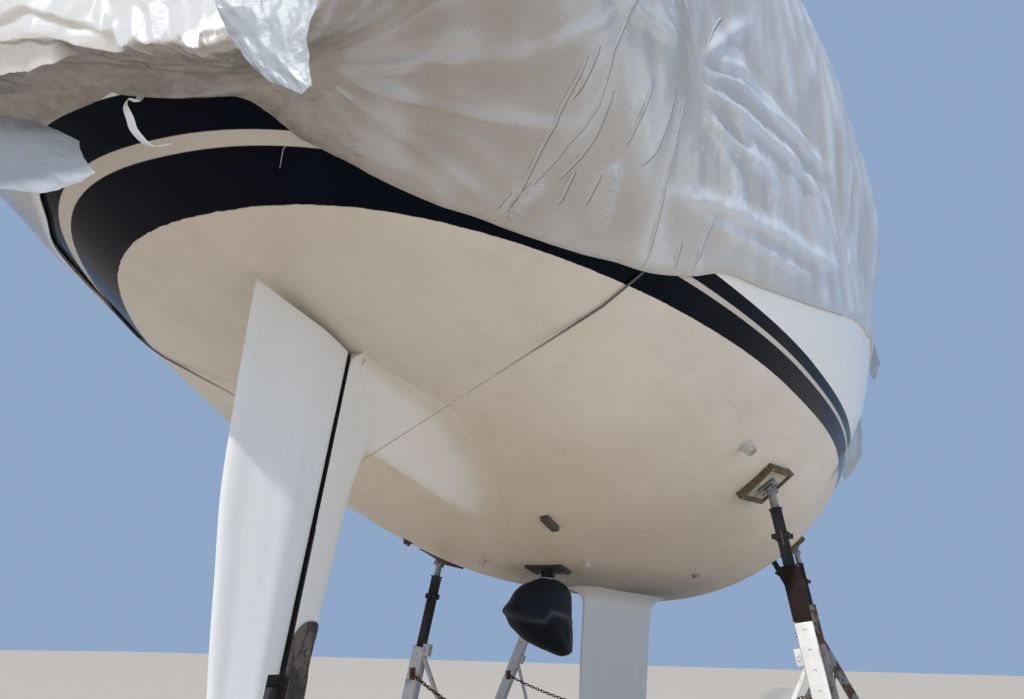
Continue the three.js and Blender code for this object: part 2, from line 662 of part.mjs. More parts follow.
for (const [name, from, to, z, sag] of CHAINS) {
  const a = hookOn(from, z, 1);
  const b = hookOn(to, z, -1);
  const pts = Array.from({ length: 9 }, (_, i) => {
    const t = i / 8;
    return [a[0] + (b[0] - a[0]) * t, a[1] + (b[1] - a[1]) * t, a[2] + (b[2] - a[2]) * t - sag * 4 * t * (1 - t)];
  });
  put(name, tube(pts, 9, 18, 6), 0x6a4a35, 0.9, 0.5);
}
put("winter_cover", cover, 0xc9c8c6, 0.5);
put("tie_rope", tube(ropeRoute, ROPE_R, 56, 6).subtract(hullSkin), 0x6d675d, 0.9);

// assembly, centred over its box and lifted to the ground
const group = new THREE.Group();
group.name = "sailing_yacht";
const centre = [6855, 0];
for (const p of parts) {
  const mesh = p.solid.getMesh();
  const g = new THREE.BufferGeometry();
  const src = mesh.vertProperties;
  const np = mesh.numProp;
  const pos = new Float32Array((src.length / np) * 3);
  for (let i = 0; i < src.length / np; i++) {
    pos[i * 3] = src[i * np] - centre[0];
    pos[i * 3 + 1] = src[i * np + 1] - centre[1];
    pos[i * 3 + 2] = src[i * np + 2] + WATERLINE_Z;
  }
  g.setAttribute("position", new THREE.BufferAttribute(pos, 3));
  g.setIndex(new THREE.BufferAttribute(new Uint32Array(mesh.triVerts), 1));
  g.computeVertexNormals();
  const m = new THREE.Mesh(g, new THREE.MeshStandardMaterial({ color: p.colour, roughness: p.rough, metalness: p.metal }));
  m.name = p.name;
  m.material.name = `${p.name}_finish`;
  group.add(m);
}
export default group;
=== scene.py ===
import math

import bmesh
import bpy
import numpy as np
from mathutils import Matrix, Vector


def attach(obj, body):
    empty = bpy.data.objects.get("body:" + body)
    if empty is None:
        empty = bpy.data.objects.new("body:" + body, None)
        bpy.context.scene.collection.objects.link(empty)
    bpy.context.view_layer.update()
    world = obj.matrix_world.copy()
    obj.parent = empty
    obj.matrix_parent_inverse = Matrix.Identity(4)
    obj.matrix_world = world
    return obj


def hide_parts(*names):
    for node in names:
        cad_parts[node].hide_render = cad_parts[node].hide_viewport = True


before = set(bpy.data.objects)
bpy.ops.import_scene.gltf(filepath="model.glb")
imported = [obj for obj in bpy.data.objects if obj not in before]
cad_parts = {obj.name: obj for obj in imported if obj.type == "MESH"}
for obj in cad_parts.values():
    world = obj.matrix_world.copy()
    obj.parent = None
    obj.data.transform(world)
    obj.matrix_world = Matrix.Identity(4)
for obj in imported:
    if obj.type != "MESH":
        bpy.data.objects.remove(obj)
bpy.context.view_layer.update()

TO_GROUND = Vector((-6.855, 0, 2.47))
GROUND = -2.47
YACHT = "yacht"
RUDDER = "rudder"

# lines of the hull: x, keel height, half breadth at the sheer, sheer height, floor exponent, side exponent
LINES = [
    (0.0, 0.493, 1.093, 1.133, 2.13, 2.19),
    (0.8, 0.207, 1.265, 1.092, 2.25, 2.27),
    (1.6, -0.044, 1.408, 1.071, 2.35, 2.46),
    (2.8, -0.345, 1.656, 1.05, 2.7, 2.68),
    (4.2, -0.706, 1.969, 1.085, 1.9, 2.76),
    (6.0, -0.86, 2.19, 1.175, 2.25, 2.2),
    (8.0, -0.83, 2.014, 1.245, 1.95, 2.58),
    (10.2, -0.568, 1.534, 1.382, 1.79, 2.17),
    (12.2, 0.01, 0.86, 1.505, 1.41, 1.69),
    (13.7, 1.47, 0.026, 1.59, 1.2, 1.41),
]
DECK_CAMBER = 0.11
LENGTH = 13.7

# winter cover: x, rise of its side above the sheer, spread beyond the sheer, ridge height, hem height
COVER = [
    (0.0, 0.7, 0.04, 1.99, -0.3),
    (0.96, 0.78, 0.06, 2.4, -0.1),
    (1.06, 0.79, 0.065, 2.48, 0.132),
    (1.25, 0.8, 0.07, 2.62, 0.09),
    (1.57, 0.82, 0.075, 2.85, 0.039),
    (1.86, 0.84, 0.08, 2.96, 0.025),
    (2.13, 0.85, 0.085, 3.02, 0.031),
    (2.41, 0.86, 0.09, 3.06, 0.058),
    (2.76, 0.87, 0.095, 3.1, 0.16),
    (3.1, 0.88, 0.1, 3.12, 0.225),
    (3.47, 0.88, 0.1, 3.14, 0.3),
    (4.15, 0.86, 0.105, 3.17, 0.469),
    (4.98, 0.82, 0.11, 3.2, 0.681),
    (6.0, 0.78, 0.115, 3.23, 0.8),
    (8.1, 0.72, 0.11, 3.26, 0.85),
    (10.2, 0.7, 0.09, 2.86, 0.95),
    (12.2, 0.68, 0.07, 2.5, 1.12),
    (13.7, 0.66, 0.04, 2.29, 1.23),
]
FILM_OFF = 0.016
DEEPEST = 0.007

# fin keel: depth, nose x, tail x, half thickness
FIN = [
    (0.7, 8.06, 5.9, 0.15),
    (0.86, 7.96, 5.85, 0.138),
    (1.0, 7.9, 5.82, 0.13),
    (1.28, 7.8, 5.76, 0.126),
    (1.68, 7.66, 5.72, 0.122),
    (2.1, 7.52, 5.69, 0.118),
    (2.2, 7.495, 5.69, 0.114),
]
# half section of the fin: way aft as a root, share of the half thickness
FOIL = [
    *((0, 0), (0.11, 0.36), (0.22, 0.66), (0.35, 0.88), (0.5, 1.0)),
    *((0.63, 0.97), (0.775, 0.75), (0.89, 0.42), (1, 0.07)),
]
FIN_FOOT = 2.2
FIN_FILLET = 0.13

# rudder blade: depth, leading edge x, trailing edge x, half thickness
BLADE = [
    (0.06, 2.288, 1.702, 0.072),
    (0.33, 2.237, 1.68, 0.072),
    (0.585, 2.188, 1.667, 0.071),
    (0.83, 2.141, 1.66, 0.07),
    (1.13, 2.083, 1.686, 0.068),
    (1.405, 2.031, 1.716, 0.066),
    (1.6, 1.995, 1.748, 0.062),
    (1.7, 1.976, 1.768, 0.056),
    (1.74, 1.95, 1.79, 0.04),
]
NOSE_BACK = 0.072
NOTCH_DEPTH = 1.405
STOCK_TOP = Vector((2.19, 0, -0.2))
STOCK_LOW = Vector((1.955, 0, -1.425))
STOCK_DIR = (STOCK_LOW - STOCK_TOP).normalized()
SWING_GAP = 0.015

# profile of the skeg and of its long root along the keel line: x, z, half width
SKEG = [
    (4.15, -0.706, 0.02),
    (3.85, -0.668, 0.038),
    (3.5, -0.634, 0.05),
    (3.15, -0.604, 0.056),
    (2.85, -0.577, 0.062),
    (2.6, -0.552, 0.07),
    (2.51, -0.562, 0.073),
    (2.46, -0.61, 0.074),
    (2.436, -0.661, 0.073),
    (2.382, -0.797, 0.072),
    (2.317, -1.019, 0.07),
    (2.256, -1.224, 0.068),
    (2.24, -1.29, 0.068),
]
HEEL = [
    (1.2905, 2.24, 0.069), (1.379, 2.217, 0.069), (1.488, 2.2, 0.068), (1.58, 2.182, 0.064),
    (1.62, 2.15, 0.05),
]


def end_slope(h0, h1, d0, d1):
    slope = ((2 * h0 + h1) * d0 - h0 * d1) / (h0 + h1)
    if np.sign(slope) != np.sign(d0):
        return 0.0
    if np.sign(d0) != np.sign(d1) and abs(slope) > 3 * abs(d0):
        return 3 * d0
    return slope


def fair(rows, column=1):
    """A fair curve through one column of a table, which never overshoots its points."""
    x = np.array([r[0] for r in rows], float)
    y = np.array([r[column] for r in rows], float)
    h = np.diff(x)
    d = np.diff(y) / h
    m = np.zeros(len(x))
    w1 = 2 * h[1:] + h[:-1]
    w2 = h[1:] + 2 * h[:-1]
    rising = d[:-1] * d[1:] > 0
    safe = np.where(rising, d[:-1], 1), np.where(rising, d[1:], 1)
    m[1:-1] = np.where(rising, (w1 + w2) / (w1 / safe[0] + w2 / safe[1]), 0)
    m[0] = end_slope(h[0], h[1], d[0], d[1])
    m[-1] = end_slope(h[-1], h[-2], d[-1], d[-2])

    def at(v):
        v = np.clip(v, x[0], x[-1])
        i = np.clip(np.searchsorted(x, v, side="right") - 1, 0, len(x) - 2)
        t = (v - x[i]) / h[i]
        near = (1 + 2 * t) * (1 - t) ** 2 * y[i] + t * (1 - t) ** 2 * h[i] * m[i]
        return near + t * t * (3 - 2 * t) * y[i + 1] + t * t * (t - 1) * h[i] * m[i + 1]

    return at


keel_z = fair(LINES, 1)
sheer_y = fair(LINES, 2)
sheer_z = fair(LINES, 3)
floor_exp = fair(LINES, 4)
side_exp = fair(LINES, 5)


def smooth(low, high, value):
    """0 below low, 1 above high, and a soft step between them."""
    t = np.clip((value - low) / (high - low), 0, 1)
    return t * t * (3 - 2 * t)


def points(x, y, z):
    return np.stack(np.broadcast_arrays(x, y, z), axis=-1).astype(float)


def skin_z(x, part):
    """z of the hull's skin at a share of its half breadth."""
    rise = np.clip(1 - part ** floor_exp(x), 0, 1) ** (1 / side_exp(x))
    return sheer_z(x) - rise * (sheer_z(x) - keel_z(x))


def hull_skin(x, girth):
    """A point of the hull: girth is -1 at the starboard sheer, 0 at the keel and 1 at the port sheer."""
    part = np.sin(np.abs(girth) * math.pi / 2) ** (2 / floor_exp(x))
    return points(x, np.sign(girth) * sheer_y(x) * part, skin_z(x, part))


def hull_z(x, y):
    return skin_z(x, np.minimum(np.abs(y) / sheer_y(x), 1))


def hull_spot(x, y, off=0.0):
    """A point on the hull bottom and the way out of the skin there."""
    step = 0.02
    slope_x = (hull_z(x + step, y) - hull_z(x - step, y)) / (2 * step)
    slope_y = (hull_z(x, y + step) - hull_z(x, y - step)) / (2 * step)
    out = Vector((float(slope_x), float(slope_y), -1)).normalized()
    return Vector((x, y, float(hull_z(x, y)))) + out * off, out


def way_along(line):
    """How far along a line each of its spots is."""
    return np.concatenate([[0], np.cumsum(np.hypot.reduce(np.diff(line, axis=0), axis=1))])


def sampled(line, way, at):
    """The line's places at these ways along it."""
    return np.stack([np.interp(at, way, row) for row in np.transpose(line)], -1)


def eased(line, turns):
    """The line with its corners softened and its ends kept."""
    for _ in range(turns):
        line[1:-1] = (line[:-2] + 2 * line[1:-1] + line[2:]) / 4
    return line


def step(share, count):
    """The number of the step at a share of the way over count steps."""
    return np.rint(share * count).astype(int)


def hump(low, full, ebb, high, value):
    """0 below low, 1 from full to ebb, and 0 again above high."""
    return smooth(low, full, value) * smooth(high, ebb, value)


def bell(off, wide):
    return np.exp(-((off / wide) ** 2))


# Making of pieces


def skin(bm, across, along, place):
    """A grid of faces whose corners are set by place(u, v), with u and v from 0 to 1."""
    made = bmesh.ops.create_grid(bm, x_segments=across, y_segments=along, size=0.5)["verts"]
    flat = np.array([v.co for v in made])
    for vert, spot in zip(made, place(flat[:, 0] + 0.5, flat[:, 1] + 0.5)):
        vert.co = spot
    return made


def faced_out(bm):
    """Every face turned away from the middle of its piece."""
    bmesh.ops.recalc_face_normals(bm, faces=bm.faces)
    middle = sum((f.calc_center_median() for f in bm.faces), Vector()) / max(len(bm.faces), 1)
    out = sum(f.normal.dot(f.calc_center_median() - middle) * f.calc_area() for f in bm.faces)
    if out < 0:
        bmesh.ops.reverse_faces(bm, faces=bm.faces)


def piece(name, bm, finish, nodes=(), body=YACHT, sharp=35, weld=0.0002, keep_facing=False):
    """The mesh set on the ground as one named piece, which stands for its CAD nodes."""
    if weld:
        merged(bm, weld)
    if not keep_facing:
        faced_out(bm)
    bmesh.ops.translate(bm, verts=bm.verts, vec=TO_GROUND)
    mesh = bpy.data.meshes.new(name)
    bm.to_mesh(mesh)
    bm.free()
    for made in finish if isinstance(finish, (list, tuple)) else [finish]:
        mesh.materials.append(made)
    mesh.shade_smooth()
    mesh.set_sharp_from_angle(angle=math.radians(sharp))
    obj = linked(name, mesh)
    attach(obj, body)
    if nodes:
        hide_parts(*nodes)
    return obj


def applied(obj, kind, **settings):
    """One modifier put on and applied at once."""
    added = obj.modifiers.new(kind.lower(), kind)
    for key, value in settings.items():
        setattr(added, key, value)
    graph = bpy.context.evaluated_depsgraph_get()
    mesh = bpy.data.meshes.new_from_object(obj.evaluated_get(graph), depsgraph=graph)
    obj.modifiers.clear()
    obj.data = mesh
    return obj


def between(a, b, lean=(1, 0, 0)):
    """The turn and shift that stand local z on the line from a to b, with local x towards lean."""
    a, b = Vector(a), Vector(b)
    z = (b - a).normalized()
    x = Vector(lean)
    x = (x - z * x.dot(z)).normalized()
    y = z.cross(x)
    turn = Matrix((x, y, z)).transposed().to_4x4()
    return Matrix.Translation((a + b) / 2) @ turn


def edges_of(verts):
    """The edges at these corners, each once, in the same order in every run."""
    return list(dict.fromkeys(e for v in verts for e in v.link_edges))


def rounded(bm, edges, offset, segments=2):
    """Edges bevelled round."""
    return bmesh.ops.bevel(
        bm, geom=list(edges), offset=offset, segments=segments, profile=0.5, affect="EDGES", material=-1
    )["verts"]


def box(bm, size, at=Matrix(), edge=0.003, segments=2):
    """A block with rounded edges, set by a turn and shift."""
    made = bmesh.ops.create_cube(bm, size=1.0, matrix=at @ Matrix.Diagonal((*size, 1)))["verts"]
    if edge:
        made = rounded(bm, edges_of(made), edge, segments)
    return made


def bar(bm, a, b, width, depth, edge=0.003, segments=2, lean=(1, 0, 0)):
    """A square bar between two points, with rounded edges."""
    return box(bm, (width, depth, (Vector(b) - Vector(a)).length), between(a, b, lean), edge, segments)


def painted(bm, before, index):
    """Gives the faces made since the count was taken one of the piece's finishes."""
    for face in list(bm.faces)[before:]:
        face.material_index = index


def drum(bm, radius, top, depth, sides, at=Matrix()):
    """A round or many sided block about its local z, closed at its ends."""
    return bmesh.ops.create_cone(
        bm, segments=sides, radius1=radius, radius2=top, depth=depth, cap_ends=True, cap_tris=False, matrix=at
    )["verts"]


def rod(bm, a, b, radius, sides=16, top=None, lean=(1, 0, 0)):
    """A round bar between two points, tapered where top gives another radius for b."""
    top = radius if top is None else top
    return drum(bm, radius, top, (Vector(b) - Vector(a)).length, sides, between(a, b, lean))


def merged(bm, near=0.0002):
    bmesh.ops.remove_doubles(bm, verts=bm.verts, dist=near)


def closed(bm, near=0.0002):
    """Doubled corners merged and open ends filled."""
    merged(bm, near)
    bmesh.ops.holes_fill(bm, edges=[e for e in bm.edges if e.is_boundary], sides=0)


def linked(name, data):
    """A new object of the scene."""
    obj = bpy.data.objects.new(name, data)
    bpy.context.scene.collection.objects.link(obj)
    return obj


class Finish:
    """A material for one of the yacht's surfaces, patterned on the place in the frame."""

    def __init__(self, name, colour, rough=0.5, metal=0.0, **more):
        self.made = bpy.data.materials.new(name)
        self.made.use_nodes = True
        self.tree = self.made.node_tree
        self.shader = self.tree.nodes["Principled BSDF"]
        self.last_bump = None
        self.put(self.shader, {"Base Color": (*colour, 1), "Roughness": rough, "Metallic": metal})
        self.put(self.shader, {key.replace("_", " "): value for key, value in more.items()})
        self.here = self.add("ShaderNodeTexCoord").outputs["Object"]

    def put(self, node, sockets):
        for key, value in sockets.items():
            if isinstance(value, bpy.types.NodeSocket):
                self.tree.links.new(value, node.inputs[key])
            else:
                node.inputs[key].default_value = value

    def add(self, kind, sockets=None, **settings):
        node = self.tree.nodes.new(kind)
        for key, value in settings.items():
            setattr(node, key, value)
        self.put(node, sockets or {})
        return node

    def place(self, scale=(1, 1, 1), turn=(0, 0, 0), at=(0, 0, 0), source=None):
        sockets = {"Vector": source or self.here, "Scale": scale, "Rotation": turn, "Location": at}
        return self.add("ShaderNodeMapping", sockets).outputs[0]

    def noise(self, where, scale, detail=4, rough=0.55, twist=0.0):
        sockets = {"Vector": where, "Scale": scale, "Detail": detail, "Roughness": rough, "Distortion": twist}
        return self.add("ShaderNodeTexNoise", sockets).outputs[0]

    def ramp(self, value, low, high, first=0.0, last=1.0):
        sockets = {"Value": value, "From Min": low, "From Max": high, "To Min": first, "To Max": last}
        return self.add("ShaderNodeMapRange", sockets).outputs[0]

    def sum(self, kind, a, b=0.0):
        node = self.add("ShaderNodeMath", operation=kind)
        self.put(node, {0: a, 1: b})
        return node.outputs[0]

    def mix(self, share, a, b, how="MIX"):
        node = self.add("ShaderNodeMix", data_type="RGBA", blend_type=how)
        self.put(node, {0: share})
        for key, value in ((6, a), (7, b)):
            self.put(node, {key: value if isinstance(value, bpy.types.NodeSocket) else (*value, 1)})
        return node.outputs[2]

    def shade(self, value, low, high, a, b, most=1.0):
        """Colour a going over to b as the value passes from low to high."""
        return self.mix(self.ramp(value, low, high, 0.0, most), a, b)

    def axis(self, name, source=None):
        return self.add("ShaderNodeSeparateXYZ", {0: source or self.here}).outputs[name]

    def attribute(self, name):
        return self.add("ShaderNodeAttribute", attribute_name=name).outputs["Fac"]

    def colour(self, value):
        self.put(self.shader, {"Base Color": value})
        return self

    def rough(self, value):
        self.put(self.shader, {"Roughness": value})
        return self

    def bump(self, height, strength, depth):
        sockets = {"Height": height, "Strength": strength, "Distance": depth}
        if self.last_bump:
            sockets["Normal"] = self.last_bump
        self.last_bump = self.add("ShaderNodeBump", sockets).outputs[0]
        self.put(self.shader, {"Normal": self.last_bump})
        return self


# Camera, floor and light

CAMERA_AT = Vector((-0.507, -1.777, -1.319))
CAMERA_YAW = math.radians(20.64)
CAMERA_PITCH = math.radians(19.546)
CAMERA_ROLL = 0.023
CAMERA_PIXELS = 850.211
PHOTO_WIDE = 1024
SENSOR_WIDE = 36


def set_camera():
    flat = math.cos(CAMERA_PITCH)
    ahead = Vector((math.cos(CAMERA_YAW) * flat, math.sin(CAMERA_YAW) * flat, math.sin(CAMERA_PITCH)))
    level = Vector((math.sin(CAMERA_YAW), -math.cos(CAMERA_YAW), 0))
    upright = level.cross(ahead)
    right = level * math.cos(CAMERA_ROLL) + upright * math.sin(CAMERA_ROLL)
    up = upright * math.cos(CAMERA_ROLL) - level * math.sin(CAMERA_ROLL)
    data = bpy.data.cameras.new("camera")
    data.sensor_width = SENSOR_WIDE
    data.lens = CAMERA_PIXELS / PHOTO_WIDE * SENSOR_WIDE
    data.clip_start = 0.05
    data.clip_end = 300
    camera = linked("camera", data)
    turn = Matrix((right, up, -ahead)).transposed().to_4x4()
    camera.matrix_world = Matrix.Translation(CAMERA_AT + TO_GROUND) @ turn
    bpy.context.scene.camera = camera


def set_floor():
    bm = bmesh.new()
    bmesh.ops.create_grid(bm, x_segments=4, y_segments=4, size=90)
    mesh = bpy.data.meshes.new("floor")
    bm.to_mesh(mesh)
    bm.free()
    floor = linked("floor", mesh)
    made = Finish("pale_floor", (0.6, 0.52, 0.42), 0.9)
    mesh.materials.append(made.made)


def set_panel(name, sides, power, colour, spot, aim):
    """A soft panel of light at a spot, turned to what it lights."""
    light = bpy.data.lights.new(name, "AREA")
    light.shape = "RECTANGLE"
    light.size, light.size_y = sides
    light.energy = power
    light.color = colour
    panel = linked(name, light)
    panel.location = Vector(spot) + TO_GROUND
    panel.rotation_mode = "QUATERNION"
    panel.rotation_quaternion = (Vector(spot) - Vector(aim)).to_track_quat("Z", "Y")


def set_light():
    world = bpy.data.worlds.new("soft_sky")
    world.use_nodes = True
    back = world.node_tree.nodes["Background"]
    back.inputs["Color"].default_value = (0.46, 0.64, 0.96, 1)
    back.inputs["Strength"].default_value = 0.6
    bpy.context.scene.world = world
    key = bpy.data.lights.new("key", "SUN")
    key.energy = 3.5
    key.angle = math.radians(1.4)
    key.color = (1.0, 0.96, 0.9)
    lamp = linked("key", key)
    towards = Vector((-0.82, -0.018, 0.555)).normalized()
    lamp.rotation_mode = "QUATERNION"
    lamp.rotation_quaternion = towards.to_track_quat("Z", "Y")
    set_panel("fill", (12.0, 4.0), 190, (0.8, 0.9, 1.0), (2.5, -9.5, 0.3), (3.6, 0.0, 0.2))
    set_panel("astern", (2.4, 0.5), 40, (1.0, 0.98, 0.95), (-2.2, -0.2, 0.75), (0.7, -0.2, 0.05))
    bpy.context.scene.view_settings.view_transform = "Standard"


set_camera()
set_floor()
set_light()


# Hull

WATERLINE = TO_GROUND.z
BOOT_LOW = 0.095
BOOT_WHITE = 0.114
BOOT_TOP = 0.166
BOTTOM_PAINT = (0.7, 0.68, 0.63)


def paint_marks(f):
    """Clouds and brush marks of the bottom paint."""
    cloud = f.noise(f.place((1, 1, 1.4)), 1.1, 5, 0.6)
    return cloud, f.noise(f.place((0.5, 3.0, 6.0), (0.1, 0.2, 0)), 3.2, 6, 0.6)


def upright_runs(f):
    return f.noise(f.place((9, 9, 0.55)), 2.2, 5, 0.6)


def paint_relief(f, brush):
    f.bump(f.noise(f.place((1, 2, 2)), 2.2, 3), 0.12, 0.02)
    f.bump(brush, 0.05, 0.004)
    return f.made


def bottom_coat(f, cloud, brush):
    """Warm white bottom paint, darker lower down as painted shade, and cool white with no scuffs on the
    upright foils below the hull.
    """
    coat = f.shade(cloud, 0.34, 0.7, (0.63, 0.575, 0.505), (0.735, 0.69, 0.625))
    coat = f.shade(brush, 0.52, 0.76, coat, (0.48, 0.42, 0.35), 0.22)
    scuffs = f.noise(f.place((1.5, 5, 9), (0.5, 0.1, 0.3)), 5, 8, 0.7)
    coat = f.shade(scuffs, 0.67, 0.74, coat, (0.3, 0.27, 0.24), 0.35)
    # Painted shade: from 0.3 m below the waterline downwards the coat darkens to brown, for the deeper shade
    # under the hull.
    coat = f.shade(f.axis("Z"), WATERLINE - 0.3, WATERLINE - 0.66, coat, (0.56, 0.47, 0.385), 0.6)
    upright = f.shade(upright_runs(f), 0.4, 0.72, (0.8, 0.795, 0.78), (0.735, 0.735, 0.73), 0.45)
    upright = f.shade(cloud, 0.45, 0.75, upright, (0.7, 0.675, 0.63), 0.25)
    off = f.sum("ABSOLUTE", f.axis("Y"), 0)
    height = f.sum("SUBTRACT", f.axis("Z"), WATERLINE)
    low = f.ramp(f.sum("ADD", height, f.sum("MULTIPLY", off, 1.3)), -0.62, -0.36)
    ahead = f.ramp(f.axis("X"), -4.25, -3.95)
    return f.mix(f.sum("MAXIMUM", low, f.sum("MULTIPLY", ahead, f.ramp(height, -1.0, -0.9))), upright, coat)


def hull_finish():
    """White bottom paint with painted shade round the fin's root, navy boot stripes with a white line between
    them, and white topsides.
    """
    f = Finish("hull_paint", BOTTOM_PAINT, 0.4, Specular_IOR_Level=0.05)
    along = f.sum("ADD", f.axis("X"), 0.855)
    lift = f.sum("MULTIPLY", f.sum("MULTIPLY", along, along), 0.001)
    height = f.sum("SUBTRACT", f.axis("Z"), WATERLINE)
    curved = f.sum("ADD", height, lift)
    chips = f.noise(f.place(), 26, 3)
    low_edge = f.sum("ADD", height, f.sum("MULTIPLY", f.sum("SUBTRACT", chips, 0.5), 0.004))
    cloud, brush = paint_marks(f)
    # Painted shade: round a spot by the fin's root the bottom paint goes over to dark brown, for the shade
    # under the hull there.
    shade_centre = {0: f.place((0.42, 0.9, 1.0)), 1: (-0.1, 0, 1.6)}
    from_shade_centre = f.add("ShaderNodeVectorMath", shade_centre, operation="DISTANCE").outputs["Value"]
    bottom = f.mix(f.ramp(from_shade_centre, 0.27, 0.82, 0.9, 0), bottom_coat(f, cloud, brush), (0.2, 0.18, 0.165))
    gel = f.shade(cloud, 0.3, 0.7, (0.8, 0.81, 0.815), (0.84, 0.84, 0.835))
    navy = f.shade(cloud, 0.3, 0.7, (0.0002, 0.0018, 0.008), (0.0005, 0.0028, 0.01))

    def above(edge, level):
        return f.ramp(edge, level - 0.0006, level + 0.0006)

    paint = f.mix(above(low_edge, 0), bottom, navy)
    paint = f.mix(above(curved, BOOT_LOW), paint, (0.58, 0.535, 0.49))
    paint = f.mix(above(curved, BOOT_WHITE), paint, navy)
    paint = f.mix(above(curved, BOOT_TOP), paint, gel)
    f.colour(paint)
    matt = f.ramp(brush, 0.3, 0.8, 0.34, 0.5)
    shiny = f.ramp(cloud, 0.3, 0.7, 0.1, 0.18)
    rough = {0: above(low_edge, 0), 2: matt, 3: shiny}
    f.rough(f.add("ShaderNodeMix", rough, data_type="FLOAT").outputs[0])
    return paint_relief(f, brush)


def make_hull():
    bm = bmesh.new()

    def outside(u, v):
        return hull_skin(LENGTH * (1 - np.cos(math.pi * u)) / 2, 2 * v - 1)

    def deck(u, v):
        edge = outside(u, np.ones_like(u))
        across = 2 * v - 1
        crown = DECK_CAMBER * np.minimum(1, edge[:, 1] / 0.9) * (1 - across**2)
        return points(edge[:, 0], edge[:, 1] * across, edge[:, 2] + crown)

    skin(bm, 180, 96, outside)
    skin(bm, 180, 20, deck)
    closed(bm)
    piece("hull_shell", bm, hull_finish(), ["hull"], sharp=50)


make_hull()


# Fin, skeg and rudder


def skeg_coat():
    f = Finish("skeg_paint", BOTTOM_PAINT, 0.4, Specular_IOR_Level=0.1)
    cloud, brush = paint_marks(f)
    # Painted highlight: on the fairing web the coat turns a cool pale grey, for the sky light on its sideways
    # faces.
    f.colour(f.mix(f.attribute("web"), bottom_coat(f, cloud, brush), (0.725, 0.71, 0.68)))
    f.rough(f.ramp(brush, 0.3, 0.8, 0.34, 0.5))
    return paint_relief(f, brush)


def foil_paint(name, tint=1.0):
    """White bottom paint on a foil, with faint runs, warmer close to the hull and duller at its foot."""
    f = Finish(name, (0.7, 0.68, 0.65), 0.42)
    runs = upright_runs(f)

    def tinted(*colour):
        return tuple(c * tint for c in colour)

    coat = f.shade(runs, 0.4, 0.72, tinted(0.735, 0.735, 0.73), tinted(0.67, 0.675, 0.68), 0.45)
    coat = f.shade(f.noise(f.place(), 1.6, 4), 0.45, 0.75, coat, tinted(0.65, 0.635, 0.605), 0.25)
    coat = f.shade(f.axis("Z"), WATERLINE - 0.55, WATERLINE - 0.15, coat, (0.7, 0.67, 0.62), 0.5)
    coat = f.shade(f.axis("Z"), WATERLINE - 0.8, WATERLINE - 1.4, coat, tinted(0.6, 0.605, 0.615), 0.6)
    f.colour(coat)
    f.rough(f.ramp(runs, 0.3, 0.7, 0.34, 0.52))
    f.bump(runs, 0.06, 0.004)
    f.bump(f.noise(f.place(), 3, 3), 0.08, 0.01)
    return f.made


def rooted(outline_x, outline_y, out_x, out_y, radius, turn):
    """A ring of a foil's root: turn is 0 on the hull skin and 1 where the fillet meets the foil's side."""
    angle = turn * math.pi / 2
    off = radius * (1 - np.sin(angle))
    x = outline_x + off * out_x
    y = outline_y + off * out_y
    return x, y, hull_z(x, y) - radius * (1 - np.cos(angle))


foil_shape = fair(FOIL)


def make_fin():
    nose, tail, half = fair(FIN, 1), fair(FIN, 2), fair(FIN, 3)
    root, foot = 0.16, 0.97

    def ring(depth, v):
        side = 2 * v - 1
        part = np.minimum(np.abs(side) / 0.97, 1)
        closing = np.clip((1 - np.abs(side)) / 0.03, 0, 1)
        y = np.sign(side) * half(depth) * foil_shape(part) * np.where(part >= 1, closing, 1)
        return nose(depth) + (tail(depth) - nose(depth)) * part**2, y

    def place(u, v):
        low = np.clip((u - root) / (1 - root), 0, 1)
        depth = 0.88 + low * (2.17 - 0.88)
        x, y = ring(depth, v)
        near_x, near_y = ring(depth, np.clip(v - 0.004, 0, 1))
        far_x, far_y = ring(depth, np.clip(v + 0.004, 0, 1))
        run = np.hypot(far_x - near_x, far_y - near_y) + 1e-9
        out_x, out_y = (far_y - near_y) / run, -(far_x - near_x) / run
        rooted_at = rooted(x, y, out_x, out_y, FIN_FILLET, np.clip(u / root, 0, 1))
        start = hull_z(x, y) - FIN_FILLET
        fall = -FIN_FOOT - start
        round_off = np.sqrt(np.clip((1 - u) / 0.03, 0, 1))
        under = start + fall * (foot - root) / (1 - root) - 0.04 * np.sqrt(1 - round_off**2)
        y = np.where(u > foot, y * round_off, y)
        z = np.where(u > foot, under, start + fall * low)
        return points(*(np.where(u < root, at_root, below) for at_root, below in zip(rooted_at, (x, y, z))))

    bm = bmesh.new()
    skin(bm, 100, 120, place)
    piece("fin_shell", bm, foil_paint("fin_paint", 0.92), ["fin_keel"], sharp=60)


make_fin()


def stock_at(depth):
    """x of the rudder stock's line at a depth."""
    return STOCK_TOP.x + (depth + STOCK_TOP.z) / -STOCK_DIR.z * STOCK_DIR.x


